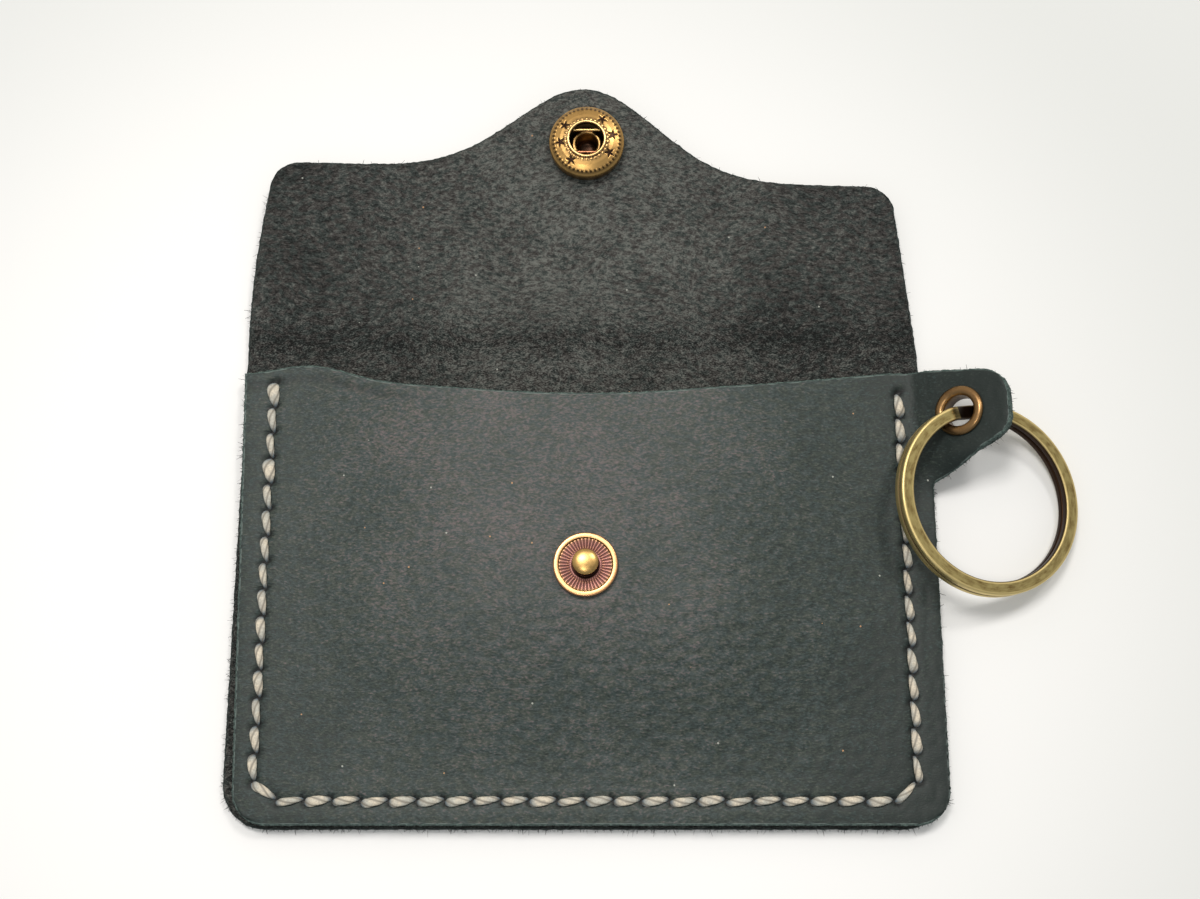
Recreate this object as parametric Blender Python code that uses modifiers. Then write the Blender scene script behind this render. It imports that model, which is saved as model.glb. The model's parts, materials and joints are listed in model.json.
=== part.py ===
"""A hand-sewn leather card wallet with a snap flap and a split key ring on a side tab.

The wallet lies on its back with the flap thrown open, as it does on a table. +X runs to the key ring,
+Y from the pocket's bottom towards the flap's tip, +Z up. The origin is the middle of the back face.
Lengths are in metres and angles in degrees.
"""

import math

import bmesh
import bpy
import numpy as np
from mathutils import Matrix, Vector

# Leather and the gaps between pieces
LEATHER = 0.0014
SEAT_GAP = 0.0002
CUT_OVERRUN = 0.002
TABLE_GAP = 0.00005
WELD_DISTANCE = 0.000001

# Pocket
BODY_WIDTH = 0.104
BODY_HEIGHT = 0.071
POCKET_ROOM = 0.0042
SHOULDER_RUN = 0.032
TOE_CLEARANCE = 0.0008
BACK_CORNER_RADIUS = 0.0065
FRONT_CORNER_RADIUS = 0.005
FRONT_TOP_DROP = 0.0034
FRONT_LEFT_SLANT = 0.0018
FRONT_BOTTOM_INSET = 0.0005
MOUTH_DEPTH = 0.0043
MOUTH_INSET = 0.006
MOUTH_SHARPNESS = 1.2

# Tab that carries the eyelet, as cut from flat leather
TAB_ANGLE = 36.0
TAB_BEND_RADIUS = 0.0033
TAB_BEND_CLEARANCE = 0.0011
TAB_HOLE_REACH = 0.0099
TAB_END_MARGIN = 0.0077
TAB_HOLE_DROP = 0.0107
TAB_TOP_FALL = 0.0019
TAB_TOP_RADIUS = 0.0048
TAB_END_RADIUS = 0.0026
TAB_END_LENGTH = 0.0091
TAB_ROOT_LENGTH = 0.0172
TAB_ROOT_RADIUS = 0.0012
TAB_TWIST_RUN = 0.0062

# Flap, measured from the fold line
FLAP_LEFT_SHOULDER = 0.0314
FLAP_RIGHT_SHOULDER = 0.0269
FLAP_LEFT_TAPER = 0.003
FLAP_LEFT_BOW = 0.0009
FLAP_RIGHT_TAPER = 0.0042
FLAP_RIGHT_INSET = 0.0012
FLAP_CORNER_RADIUS = 0.0045
FLAP_TIP = 0.0437
FLAP_TIP_SPREAD = 0.0154
FLAP_STEP_SPREAD = 0.031
SNAP_REACH = 0.0339

# Sewing
STITCH_PITCH = 0.004
STITCH_MARGIN = 0.0046
STITCH_BOTTOM_MARGIN = 0.0039
STITCH_CORNER_CUT = 0.0034
STITCH_CORNER_RISE = 0.0026
STITCH_STRETCH_SHARE = 0.25
LEFT_FIRST_STITCH = 0.0048
RIGHT_FIRST_STITCH = 0.0065
THREAD_DIAMETER = 0.0008
THREAD_GAP = 0.0001
THREAD_SPREAD = 0.0011
THREAD_TURN = 0.0003
SLOT_LENGTH = 0.0024
SLOT_WIDTH = 0.00105
SLOT_SLANT = 120.0
GROOVE_WIDTH = 0.0021

# Snap: stud and post on the front, socket, spring and cap on the flap
SHEET_METAL = 0.0004
STUD_DIAMETER = 0.0094
STUD_RIM = 0.0008
STUD_RIM_WIDTH = 0.0009
STUD_DISH_DEPTH = 0.00035
BALL_DIAMETER = 0.00415
NECK_DIAMETER = 0.003
BALL_HEIGHT = 0.00325
NECK_HEIGHT = 0.0019
BARREL_DIAMETER = 0.0029
BARREL_WALL = 0.0003
BARREL_CLEARANCE = 0.0002
POST_FLANGE_DIAMETER = 0.0084
POST_FLANGE = 0.0005
SOCKET_DIAMETER = 0.0118
SOCKET_HEIGHT = 0.0032
SOCKET_MOUTH_DIAMETER = 0.0055
SOCKET_LIP = 0.0005
SPRING_WIRE = 0.0005
SPRING_SLACK = 0.0001
SPRING_BAR_LENGTH = 0.0062
SPRING_BEND = 0.0011
CAP_DIAMETER = 0.0124
CAP_HEIGHT = 0.0016
CAP_EDGE = 0.0006
CAP_BARREL_DIAMETER = 0.0038
CAP_ROLL = 0.0006
SNAP_CLEARANCE = 0.0002

# Eyelet
EYELET_DIAMETER = 0.0076
EYELET_BORE = 0.0047
EYELET_WALL = 0.0003
EYELET_RIM = 0.00055
WASHER_RIM = 0.0005
BARREL_ROLL = 0.00045

# Split key ring
RING_DIAMETER = 0.029
RING_WIRE_WIDTH = 0.002
RING_WIRE_HEIGHT = 0.00115
RING_WIRE_ROUND = 0.0003
RING_COIL_GAP = 0.00015
RING_DROP = 0.0005
RING_HEADING = 16.0
RING_STEP_HALF = 7.0
RING_STEP_SHIFT = -2.0
RING_UPPER_END = 10.0
RING_LOWER_END = 17.0

# Facets
TURN_STEPS = 28
RING_FACET = 6.0
STEP_FACET = 2.0
ARC_FACET = 15.0
ROUND_SHADE = 35.0

# Values that follow from the sizes above
HALF_WIDTH = BODY_WIDTH / 2
FOLD_Y = BODY_HEIGHT / 2
BOTTOM_Y = -BODY_HEIGHT / 2
SEAM_Z = LEATHER + SEAT_GAP
SEAM_TOP = SEAM_Z + LEATHER
CROWN = POCKET_ROOM - SEAT_GAP
CROWN_TOP = SEAM_TOP + CROWN
FRONT_TOP_Y = FOLD_Y - FRONT_TOP_DROP
STITCH_X = HALF_WIDTH - STITCH_MARGIN
STITCH_Y = BOTTOM_Y + STITCH_BOTTOM_MARGIN
SLOT_REACH = SLOT_LENGTH / 2
GROOVE_DEPTH = THREAD_DIAMETER + THREAD_GAP
SNAP_Y = FOLD_Y - SNAP_REACH
MOUTH_HALF_WIDTH = HALF_WIDTH - MOUTH_INSET
CROWN_EDGE_X = STITCH_X - SLOT_REACH
CROWN_EDGE_Y = STITCH_Y + SLOT_REACH
TOE_RUN = SNAP_Y - STUD_DIAMETER / 2 - TOE_CLEARANCE - CROWN_EDGE_Y
SNAP_STACK = 2 * SEAT_GAP + STUD_RIM + SNAP_CLEARANCE + SOCKET_HEIGHT
FOLD_RISE = (CROWN_TOP + SNAP_STACK - LEATHER) / 2
HINGE_Z = LEATHER + FOLD_RISE
TAB_BEND_X = STITCH_X + TAB_BEND_CLEARANCE
TAB_HOLE_X = STITCH_X + TAB_HOLE_REACH
TAB_HOLE_Y = FOLD_Y - TAB_HOLE_DROP
TAB_ROOT_Y = FRONT_TOP_Y - TAB_ROOT_LENGTH
TAB_TWIST_Y = TAB_ROOT_Y - TAB_TWIST_RUN / 3
RING_RADIUS = RING_DIAMETER / 2
RING_MID_RADIUS = (RING_DIAMETER - RING_WIRE_WIDTH) / 2
RING_PITCH = RING_WIRE_HEIGHT + RING_COIL_GAP
RING_HALF_HEIGHT = (RING_PITCH + RING_WIRE_HEIGHT) / 2

GRAIN_COLOUR = (0.045, 0.057, 0.056)
SUEDE_COLOUR = (0.022, 0.025, 0.025)
THREAD_COLOUR = (0.46, 0.45, 0.43)
BRASS_COLOUR = (0.36, 0.25, 0.09)
COPPER_COLOUR = (0.42, 0.22, 0.09)
STEEL_COLOUR = (0.42, 0.38, 0.3)


def smooth(share):
    """Ease from 0 to 1 with level ends."""
    share = np.clip(share, 0.0, 1.0)
    return share * share * (3.0 - 2.0 * share)


def make_material(name, colour, roughness, metallic):
    """A Principled material with one colour."""
    material = bpy.data.materials.new(name)
    material.use_nodes = True
    shader = material.node_tree.nodes["Principled BSDF"]
    shader.inputs["Base Color"].default_value = (*colour, 1.0)
    shader.inputs["Roughness"].default_value = roughness
    shader.inputs["Metallic"].default_value = metallic
    material.diffuse_color = (*colour, 1.0)
    return material


def make_collection(name):
    """A collection linked to the scene."""
    collection = bpy.data.collections.new(name)
    bpy.context.scene.collection.children.link(collection)
    return collection


def clear_scene():
    """Start from an empty scene."""
    for item in list(bpy.data.objects):
        bpy.data.objects.remove(item, do_unlink=True)


def make_object(name, data, collection, material=None):
    """An object with its data and one material."""
    item = bpy.data.objects.new(name, data)
    collection.objects.link(item)
    if material:
        data.materials.append(material)
    return item


def shade_round(mesh):
    """Smooth shading that keeps the sharp edges."""
    mesh.shade_smooth()
    mesh.set_sharp_from_angle(angle=math.radians(ROUND_SHADE))


def as_mesh(item, name, collection, material=None):
    """Turn a curve, or an object with modifiers, into a welded mesh object in its place."""
    graph = bpy.context.evaluated_depsgraph_get()
    mesh = bpy.data.meshes.new_from_object(item.evaluated_get(graph))
    mesh.name = name
    mesh.materials.clear()
    work = bmesh.new()
    work.from_mesh(mesh)
    bmesh.ops.remove_doubles(work, verts=work.verts, dist=WELD_DISTANCE)
    work.to_mesh(mesh)
    work.free()
    matrix = item.matrix_world.copy()
    bpy.data.objects.remove(item, do_unlink=True)
    result = make_object(name, mesh, collection, material)
    result.matrix_world = matrix
    return result


def outline_plate(name, points, low, high, collection, material=None):
    """A flat plate between two heights, cut to a closed outline."""
    curve = bpy.data.curves.new(name + "_outline", "CURVE")
    curve.dimensions = "2D"
    curve.fill_mode = "BOTH"
    curve.extrude = (high - low) / 2
    spline = curve.splines.new("POLY")
    spline.points.add(len(points) - 1)
    for target, (x, y) in zip(spline.points, points):
        target.co = (x, y, 0, 1)
    spline.use_cyclic_u = True
    item = make_object(name + "_curve", curve, collection)
    item.location = (0, 0, (low + high) / 2)
    bpy.context.view_layer.update()
    plate = as_mesh(item, name, collection, material)
    plate.data.transform(plate.matrix_world)
    plate.matrix_world = Matrix.Identity(4)
    return plate


def corner_arc(before, corner, after, radius):
    """Points of an arc that rounds one corner of an outline."""
    corner = Vector(corner)
    back = (Vector(before) - corner).normalized()
    ahead = (Vector(after) - corner).normalized()
    half = back.angle(ahead) / 2
    reach = radius / math.tan(half)
    centre = corner + (back + ahead).normalized() * (radius / math.sin(half))
    first = corner + back * reach - centre
    turn = math.pi - 2 * half
    side = 1 if first.x * (corner - centre).y - first.y * (corner - centre).x > 0 else -1
    count = max(2, round(math.degrees(turn) / ARC_FACET))
    points = []
    for index in range(count + 1):
        angle = side * turn * index / count
        cosine, sine = math.cos(angle), math.sin(angle)
        spoke = Vector((first.x * cosine - first.y * sine, first.x * sine + first.y * cosine))
        points.append(tuple(centre + spoke))
    return points


def rounded(corners):
    """An outline from corners given as (x, y, radius); radius 0 keeps the point."""
    points = []
    count = len(corners)
    for index, (x, y, radius) in enumerate(corners):
        if radius:
            before = corners[index - 1][:2]
            after = corners[(index + 1) % count][:2]
            points += corner_arc(before, (x, y), after, radius)
        else:
            points.append((x, y))
    return points


def cut(item, cutter, operation="DIFFERENCE"):
    """Add a Boolean modifier and hide its cutter."""
    modifier = item.modifiers.new("cut_" + cutter.name, "BOOLEAN")
    modifier.operation = operation
    modifier.solver = "EXACT"
    modifier.object = cutter
    cutter.hide_render = True
    cutter.display_type = "WIRE"


def side_stitches(side, first):
    """Places of one side's stitching holes, from the top down."""
    low = STITCH_Y + STITCH_CORNER_RISE
    count = math.ceil((first - low) / STITCH_PITCH - STITCH_STRETCH_SHARE)
    return [Vector((side * STITCH_X, first + (low - first) * row / count)) for row in range(count + 1)]


def bottom_stitches():
    """Places of the stitching holes along the bottom, from the left."""
    reach = STITCH_X - STITCH_CORNER_CUT
    count = round(2 * reach / STITCH_PITCH)
    return [Vector((-reach + 2 * reach * step / count, STITCH_Y)) for step in range(count + 1)]


def stitch_points():
    """The seam's holes on the left side, along the bottom and on the right side."""
    left = side_stitches(-1, FOLD_Y - LEFT_FIRST_STITCH)
    right = side_stitches(1, FOLD_Y - RIGHT_FIRST_STITCH)
    return left, bottom_stitches(), right


def midpoints(places):
    """The places half way between neighbours."""
    return [(before + after) / 2 for before, after in zip(places, places[1:])]


def stitch_slants(points):
    """The unit direction of each slot, turned from the seam's direction there."""
    slants = []
    for index in range(len(points)):
        before = points[max(index - 1, 0)]
        after = points[min(index + 1, len(points) - 1)]
        run = (after - before).normalized()
        angle = math.atan2(run.y, run.x) + math.radians(SLOT_SLANT)
        slants.append(Vector((math.cos(angle), math.sin(angle))))
    return slants


def slot_cutter(name, points, slants, collection):
    """One mesh of pointed slots, as an awl leaves them, through every layer of the seam."""
    work = bmesh.new()
    half_width = SLOT_WIDTH / 2
    flat = SLOT_REACH - half_width
    for place, along in zip(points, slants):
        across = Vector((-along.y, along.x))
        shape = [
            along * SLOT_REACH,
            along * flat + across * half_width,
            -along * flat + across * half_width,
            -along * SLOT_REACH,
            -along * flat - across * half_width,
            along * flat - across * half_width,
        ]
        base = [work.verts.new((*(place + corner), -CUT_OVERRUN)) for corner in shape]
        face = work.faces.new(base)
        grown = bmesh.ops.extrude_face_region(work, geom=[face])
        top = [part for part in grown["geom"] if isinstance(part, bmesh.types.BMVert)]
        bmesh.ops.translate(work, verts=top, vec=(0, 0, SEAM_TOP + 2 * CUT_OVERRUN))
    bmesh.ops.recalc_face_normals(work, faces=work.faces)
    mesh = bpy.data.meshes.new(name)
    work.to_mesh(mesh)
    work.free()
    return make_object(name, mesh, collection)


def round_cutter(name, place, diameter, collection):
    """A cylinder through the leather."""
    work = bmesh.new()
    bmesh.ops.create_cone(
        work, cap_ends=True, segments=TURN_STEPS // 2, radius1=diameter / 2, radius2=diameter / 2,
        depth=LEATHER + 4 * CUT_OVERRUN, matrix=Matrix.Translation((*place, 0)))
    mesh = bpy.data.meshes.new(name)
    work.to_mesh(mesh)
    work.free()
    return make_object(name, mesh, collection)


def groove_outline():
    """The band that the stitches lie in on the back, along three sides of the pocket."""
    half = GROOVE_WIDTH / 2
    cut_x = STITCH_X - STITCH_CORNER_CUT
    cut_y = STITCH_Y + STITCH_CORNER_RISE
    left_top = FOLD_Y - LEFT_FIRST_STITCH + SLOT_REACH
    right_top = FOLD_Y - RIGHT_FIRST_STITCH + SLOT_REACH
    lean = half / 2
    outer = [
        (-STITCH_X - half, left_top),
        (-STITCH_X - half, cut_y - lean),
        (-cut_x - lean, STITCH_Y - half),
        (cut_x + lean, STITCH_Y - half),
        (STITCH_X + half, cut_y - lean),
        (STITCH_X + half, right_top),
    ]
    inner = [
        (STITCH_X - half, right_top),
        (STITCH_X - half, cut_y + lean),
        (cut_x - lean, STITCH_Y + half),
        (-cut_x + lean, STITCH_Y + half),
        (-STITCH_X + half, cut_y + lean),
        (-STITCH_X + half, left_top),
    ]
    return outer + inner


def back_outline():
    """The back's outline below the fold line."""
    radius = BACK_CORNER_RADIUS
    return rounded([
        (-HALF_WIDTH, FOLD_Y, 0),
        (-HALF_WIDTH, BOTTOM_Y, radius),
        (HALF_WIDTH, BOTTOM_Y, radius),
        (HALF_WIDTH - FLAP_RIGHT_INSET, FOLD_Y, 0),
    ])


def build_back(parts, cutters, leather, slots):
    """The back leather of the pocket, with its slots and the groove for the stitches."""
    back = outline_plate("back_panel", back_outline(), 0, LEATHER, parts, leather)
    groove = outline_plate("stitch_groove", groove_outline(), -CUT_OVERRUN, GROOVE_DEPTH, cutters)
    cut(back, groove)
    cut(back, slots)
    return back


def mouth_edge(x):
    """Height of the pocket's mouth edge at x: level at the sides, dipped in the middle."""
    reach = min(abs(x) / MOUTH_HALF_WIDTH, 1.0)
    return FRONT_TOP_Y - MOUTH_DEPTH * math.cos(math.pi / 2 * reach) ** MOUTH_SHARPNESS


def front_outline():
    """The front leather as cut, with the mouth's curve and the tab."""
    steps = 24
    mouth = [(MOUTH_HALF_WIDTH * (1 - 2 * step / steps)) for step in range(steps + 1)]
    end_x = TAB_HOLE_X + TAB_END_MARGIN
    end_top = FRONT_TOP_Y - TAB_TOP_FALL
    end_low = end_top - TAB_END_LENGTH
    bottom = BOTTOM_Y + FRONT_BOTTOM_INSET
    corners = [
        (-HALF_WIDTH, FRONT_TOP_Y, 0),
        (-HALF_WIDTH + FRONT_LEFT_SLANT, bottom, FRONT_CORNER_RADIUS),
        (HALF_WIDTH, bottom, FRONT_CORNER_RADIUS),
        (HALF_WIDTH, TAB_ROOT_Y, TAB_ROOT_RADIUS),
        (end_x, end_low, TAB_END_RADIUS),
        (end_x, end_top, TAB_TOP_RADIUS),
        (HALF_WIDTH, FRONT_TOP_Y, 0),
    ]
    return rounded(corners) + [(x, mouth_edge(x)) for x in mouth]


def grid_plate(name, columns, rows, collection):
    """A flat plate of one leather thickness, divided along columns and along rows that may lean.

    A row is a pair of heights, one at each side seam.
    """
    work = bmesh.new()
    bottom = []
    for left, right in rows:
        lean = (right - left) / (2 * STITCH_X)
        bottom.append([work.verts.new((x, left + lean * (x + STITCH_X), 0)) for x in columns])
    for row in range(len(rows) - 1):
        for column in range(len(columns) - 1):
            work.faces.new((
                bottom[row][column], bottom[row][column + 1],
                bottom[row + 1][column + 1], bottom[row + 1][column]))
    grown = bmesh.ops.extrude_face_region(work, geom=list(work.faces))
    top = [part for part in grown["geom"] if isinstance(part, bmesh.types.BMVert)]
    bmesh.ops.translate(work, verts=top, vec=(0, 0, LEATHER))
    bmesh.ops.recalc_face_normals(work, faces=work.faces)
    mesh = bpy.data.meshes.new(name)
    work.to_mesh(mesh)
    work.free()
    return make_object(name, mesh, collection)


def front_columns(bottom):
    """Columns that divide the front: between the stitches on the crown's slopes, and round the tab's bend."""
    level = CROWN_EDGE_X - SHOULDER_RUN - STITCH_PITCH / 2
    slopes = [place.x for place in midpoints(bottom) if abs(place.x) > level]
    bend = np.linspace(TAB_BEND_X, TAB_BEND_X + math.radians(TAB_ANGLE) * TAB_BEND_RADIUS, 4)
    end = TAB_HOLE_X + TAB_END_MARGIN + CUT_OVERRUN
    return [-HALF_WIDTH - CUT_OVERRUN, -CROWN_EDGE_X, *slopes, CROWN_EDGE_X, *bend, end]


def front_rows(left, right):
    """Rows that divide the front: between the stitches on the crown's toe and where the tab twists up."""
    rows = []
    for low, high in zip(midpoints(left)[::-1], midpoints(right)[::-1]):
        on_toe = high.y < CROWN_EDGE_Y + TOE_RUN + STITCH_PITCH / 2
        on_twist = TAB_TWIST_Y - STITCH_PITCH < high.y < TAB_TWIST_Y + TAB_TWIST_RUN + STITCH_PITCH
        if on_toe or on_twist:
            rows.append((low.y, high.y))
    ends = (BOTTOM_Y - CUT_OVERRUN, CROWN_EDGE_Y, FOLD_Y)
    return [(ends[0], ends[0]), (ends[1], ends[1]), *rows, (ends[2], ends[2])]


def crown_height(x, y):
    """How far the front stands off its seam: full over the cards, nothing along the stitches."""
    across = smooth((CROWN_EDGE_X - np.abs(x)) / SHOULDER_RUN)
    up = smooth((y - CROWN_EDGE_Y) / TOE_RUN)
    return CROWN * across * up


def tab_angle(y):
    """Bend of the tab at a height: none below its root, full across the eyelet."""
    return math.radians(TAB_ANGLE) * smooth((y - TAB_TWIST_Y) / TAB_TWIST_RUN)


def bend_tab(x, y, height):
    """Bend the leather right of the seam upwards: an arc of the bend radius, then straight."""
    reach = np.maximum(x - TAB_BEND_X, 0.0)
    angle = tab_angle(y)
    turn = np.minimum(reach / TAB_BEND_RADIUS, angle)
    straight = reach - turn * TAB_BEND_RADIUS
    inner = TAB_BEND_RADIUS - height
    new_x = np.minimum(x, TAB_BEND_X) + inner * np.sin(turn) + straight * np.cos(turn)
    new_z = TAB_BEND_RADIUS - inner * np.cos(turn) + straight * np.sin(turn)
    return new_x, new_z


def tab_hole_centre():
    """Middle of the eyelet's hole, at half the leather's thickness, once the tab is bent."""
    x, z = bend_tab(np.array([TAB_HOLE_X]), np.array([TAB_HOLE_Y]), 0.0)
    return Vector((float(x[0]), TAB_HOLE_Y, SEAM_Z + LEATHER / 2 + float(z[0])))


def build_front(parts, cutters, leather, slots, seam):
    """The front leather: cut and punched flat, then crowned over the cards and bent up at the tab."""
    left, bottom, right = seam
    blank = grid_plate("front_blank", front_columns(bottom), front_rows(left, right), parts)
    shape = outline_plate("front_outline", front_outline(), -CUT_OVERRUN, LEATHER + CUT_OVERRUN, cutters)
    snap_hole = round_cutter("front_snap_hole", (0, SNAP_Y), BARREL_DIAMETER + 2 * BARREL_CLEARANCE, cutters)
    eyelet_hole = round_cutter(
        "tab_hole", (TAB_HOLE_X, TAB_HOLE_Y), EYELET_BORE + 2 * EYELET_WALL + 2 * BARREL_CLEARANCE, cutters)
    cut(blank, shape, "INTERSECT")
    cut(blank, slots)
    cut(blank, snap_hole)
    cut(blank, eyelet_hole)
    bpy.context.view_layer.update()
    front = as_mesh(blank, "front_panel", parts, leather)
    places = np.empty(len(front.data.vertices) * 3)
    front.data.vertices.foreach_get("co", places)
    places = places.reshape(-1, 3)
    x, y, z = places.T
    new_x, new_z = bend_tab(x, y, z - LEATHER / 2)
    raised = new_z + LEATHER / 2 + SEAM_Z + crown_height(x, y)
    front.data.vertices.foreach_set("co", np.stack([new_x, y, raised], axis=1).ravel())
    front.data.update()
    shade_round(front.data)
    return front


def flap_edge(x):
    """The flap's far edge at x: two shoulders of unlike height and a bell between them."""
    mean = (FLAP_LEFT_SHOULDER + FLAP_RIGHT_SHOULDER) / 2
    half = (FLAP_LEFT_SHOULDER - FLAP_RIGHT_SHOULDER) / 2
    shoulder = mean - half * math.tanh(x / FLAP_STEP_SPREAD)
    return shoulder + (FLAP_TIP - mean) * math.exp(-(x / FLAP_TIP_SPREAD) ** 2)


def flap_outline():
    """The flap's outline, y from the fold line."""
    steps = 30
    left = -HALF_WIDTH + FLAP_LEFT_TAPER
    right = HALF_WIDTH - FLAP_RIGHT_TAPER
    clear = 2 * FLAP_CORNER_RADIUS
    top = [right - clear + (left - right + 2 * clear) * step / steps for step in range(steps + 1)]
    shoulder = flap_edge(left)
    side_steps = 6
    side = []
    for step in range(side_steps):
        share = step / side_steps
        bow = 4 * FLAP_LEFT_BOW * share * (1 - share)
        side.append((-HALF_WIDTH + FLAP_LEFT_TAPER * share - bow, shoulder * share, 0))
    corners = [
        (left, shoulder, FLAP_CORNER_RADIUS),
        *side[::-1],
        (HALF_WIDTH - FLAP_RIGHT_INSET, 0, 0),
        (right, flap_edge(right), FLAP_CORNER_RADIUS),
    ]
    corners += [(x, flap_edge(x), 0) for x in top]
    return rounded(corners)


def flap_tilt():
    """Tilt of the open flap, in radians, that lays the cap's dome on the table, found in a few rounds."""
    centre_drop = HINGE_Z + SEAT_GAP + CAP_EDGE
    tilt = 0.0
    for _ in range(12):
        dome = math.hypot(CAP_DIAMETER / 2 * math.sin(tilt), (CAP_HEIGHT - CAP_EDGE) * math.cos(tilt))
        rise = centre_drop * math.cos(tilt) + dome + TABLE_GAP - HINGE_Z
        tilt = math.asin(rise / SNAP_REACH)
    return tilt


def build_flap(parts, cutters, leather, hinge):
    """The flap, grain side down, hung from the fold's axis."""
    low = -FOLD_RISE - LEATHER
    flap = outline_plate("flap", flap_outline(), low, low + LEATHER, parts, leather)
    hole = round_cutter(
        "flap_hole", (0, SNAP_REACH), CAP_BARREL_DIAMETER + 2 * BARREL_CLEARANCE, cutters)
    hole.location.z = low
    hole.parent = hinge
    flap.parent = hinge
    cut(flap, hole)
    return flap


def turned(name, profile, closed, collection, material):
    """A turned piece: the (radius, height) profile runs down its outer side, top to bottom."""
    count = len(profile)
    edges = [(index, index + 1) for index in range(count - 1)]
    if closed:
        edges.append((count - 1, 0))
    mesh = bpy.data.meshes.new(name)
    mesh.from_pydata([(radius, 0, height) for radius, height in profile], edges, [])
    item = make_object(name, mesh, collection, material)
    screw = item.modifiers.new("turn", "SCREW")
    screw.angle = 2 * math.pi
    screw.steps = TURN_STEPS
    screw.render_steps = TURN_STEPS
    screw.screw_offset = 0
    screw.use_merge_vertices = True
    screw.merge_threshold = WELD_DISTANCE
    screw.use_smooth_shade = True
    return item


def bump(radius, height, half_width, rise, start, stop, steps):
    """Points of an oval arc in a profile, from one angle to another, clockwise."""
    points = []
    for index in range(steps + 1):
        angle = math.radians(start + (stop - start) * index / steps)
        points.append((radius + half_width * math.cos(angle), height + rise * math.sin(angle)))
    return points


def build_stud(parts, material):
    """The stud: a rolled rim, a dish and a necked ball, drawn from one sheet and hollow below."""
    outer = STUD_DIAMETER / 2
    rim_middle = outer - STUD_RIM_WIDTH / 2
    ball = BALL_DIAMETER / 2
    neck = NECK_DIAMETER / 2
    dish = STUD_DISH_DEPTH + SHEET_METAL
    ball_middle = (BALL_HEIGHT + NECK_HEIGHT) / 2 + SHEET_METAL / 2
    bore = neck - SHEET_METAL
    profile = [(0, BALL_HEIGHT)]
    profile += bump(0, ball_middle, ball, BALL_HEIGHT - ball_middle, 66, -30, 5)
    profile += [(neck, NECK_HEIGHT), (neck, dish + SHEET_METAL / 2), (neck + SHEET_METAL / 2, dish)]
    profile += [(rim_middle - STUD_RIM_WIDTH / 2, dish)]
    profile += bump(rim_middle, STUD_RIM / 2, STUD_RIM_WIDTH / 2, STUD_RIM / 2, 130, -90, 6)
    profile += [(bore + SHEET_METAL, 0), (bore, SHEET_METAL), (bore, BALL_HEIGHT - 2 * SHEET_METAL)]
    profile += [(0, BALL_HEIGHT - 2 * SHEET_METAL)]
    stud = turned("snap_stud", profile, False, parts, material)
    stud.location = (0, SNAP_Y, CROWN_TOP + SEAT_GAP)
    return stud


def build_post(parts, material):
    """The post inside the pocket: a domed flange and the barrel that holds the stud."""
    barrel = BARREL_DIAMETER / 2
    bore = barrel - BARREL_WALL
    flange = POST_FLANGE_DIAMETER / 2
    bore_room = NECK_DIAMETER / 2 - SHEET_METAL - BARREL_CLEARANCE
    tip = LEATHER + SEAT_GAP * 2 + STUD_DISH_DEPTH
    profile = [
        (bore_room - BARREL_WALL, tip),
        (bore_room, tip),
        (bore_room, LEATHER + SEAT_GAP),
        (barrel, LEATHER),
        (barrel, 0),
        (flange - POST_FLANGE, 0),
        (flange, -POST_FLANGE / 2),
        (flange - POST_FLANGE, -POST_FLANGE),
        (bore, -POST_FLANGE),
        (bore, LEATHER - BARREL_WALL),
        (bore_room - BARREL_WALL, LEATHER + SEAT_GAP),
    ]
    post = turned("snap_post", profile, True, parts, material)
    post.location = (0, SNAP_Y, CROWN_TOP - LEATHER - SEAT_GAP)
    return post


def build_socket(parts, material, hinge):
    """The socket on the flap: a drawn cup with a rolled edge, its mouth facing up while it is open."""
    outer = SOCKET_DIAMETER / 2
    mouth = SOCKET_MOUTH_DIAMETER / 2
    wall = SHEET_METAL
    height = SOCKET_HEIGHT
    hole = CAP_BARREL_DIAMETER / 2 + BARREL_CLEARANCE
    shoulder = (outer + mouth) / 2 + SOCKET_LIP
    profile = [(mouth, height - SOCKET_LIP / 2)]
    profile += bump(mouth + SOCKET_LIP / 2, height - SOCKET_LIP / 2, SOCKET_LIP / 2, SOCKET_LIP / 2, 150, 60, 2)
    profile += [(shoulder, height - SOCKET_LIP)]
    profile += [(outer - SOCKET_LIP, height - 2 * SOCKET_LIP)]
    profile += bump(outer - SOCKET_LIP, wall + SOCKET_LIP / 2, SOCKET_LIP, SOCKET_LIP / 2 + wall, 60, -90, 4)
    profile += [(hole, 0), (hole, wall), (outer - SOCKET_LIP - wall, wall)]
    profile += [(outer - SOCKET_LIP - wall, height - 2 * SOCKET_LIP - wall)]
    profile += [(shoulder, height - SOCKET_LIP - wall), (mouth, height - SOCKET_LIP - wall / 2)]
    socket = turned("snap_socket", profile, True, parts, material)
    socket.parent = hinge
    socket.location = (0, SNAP_REACH, SEAT_GAP - FOLD_RISE)
    return socket


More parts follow.
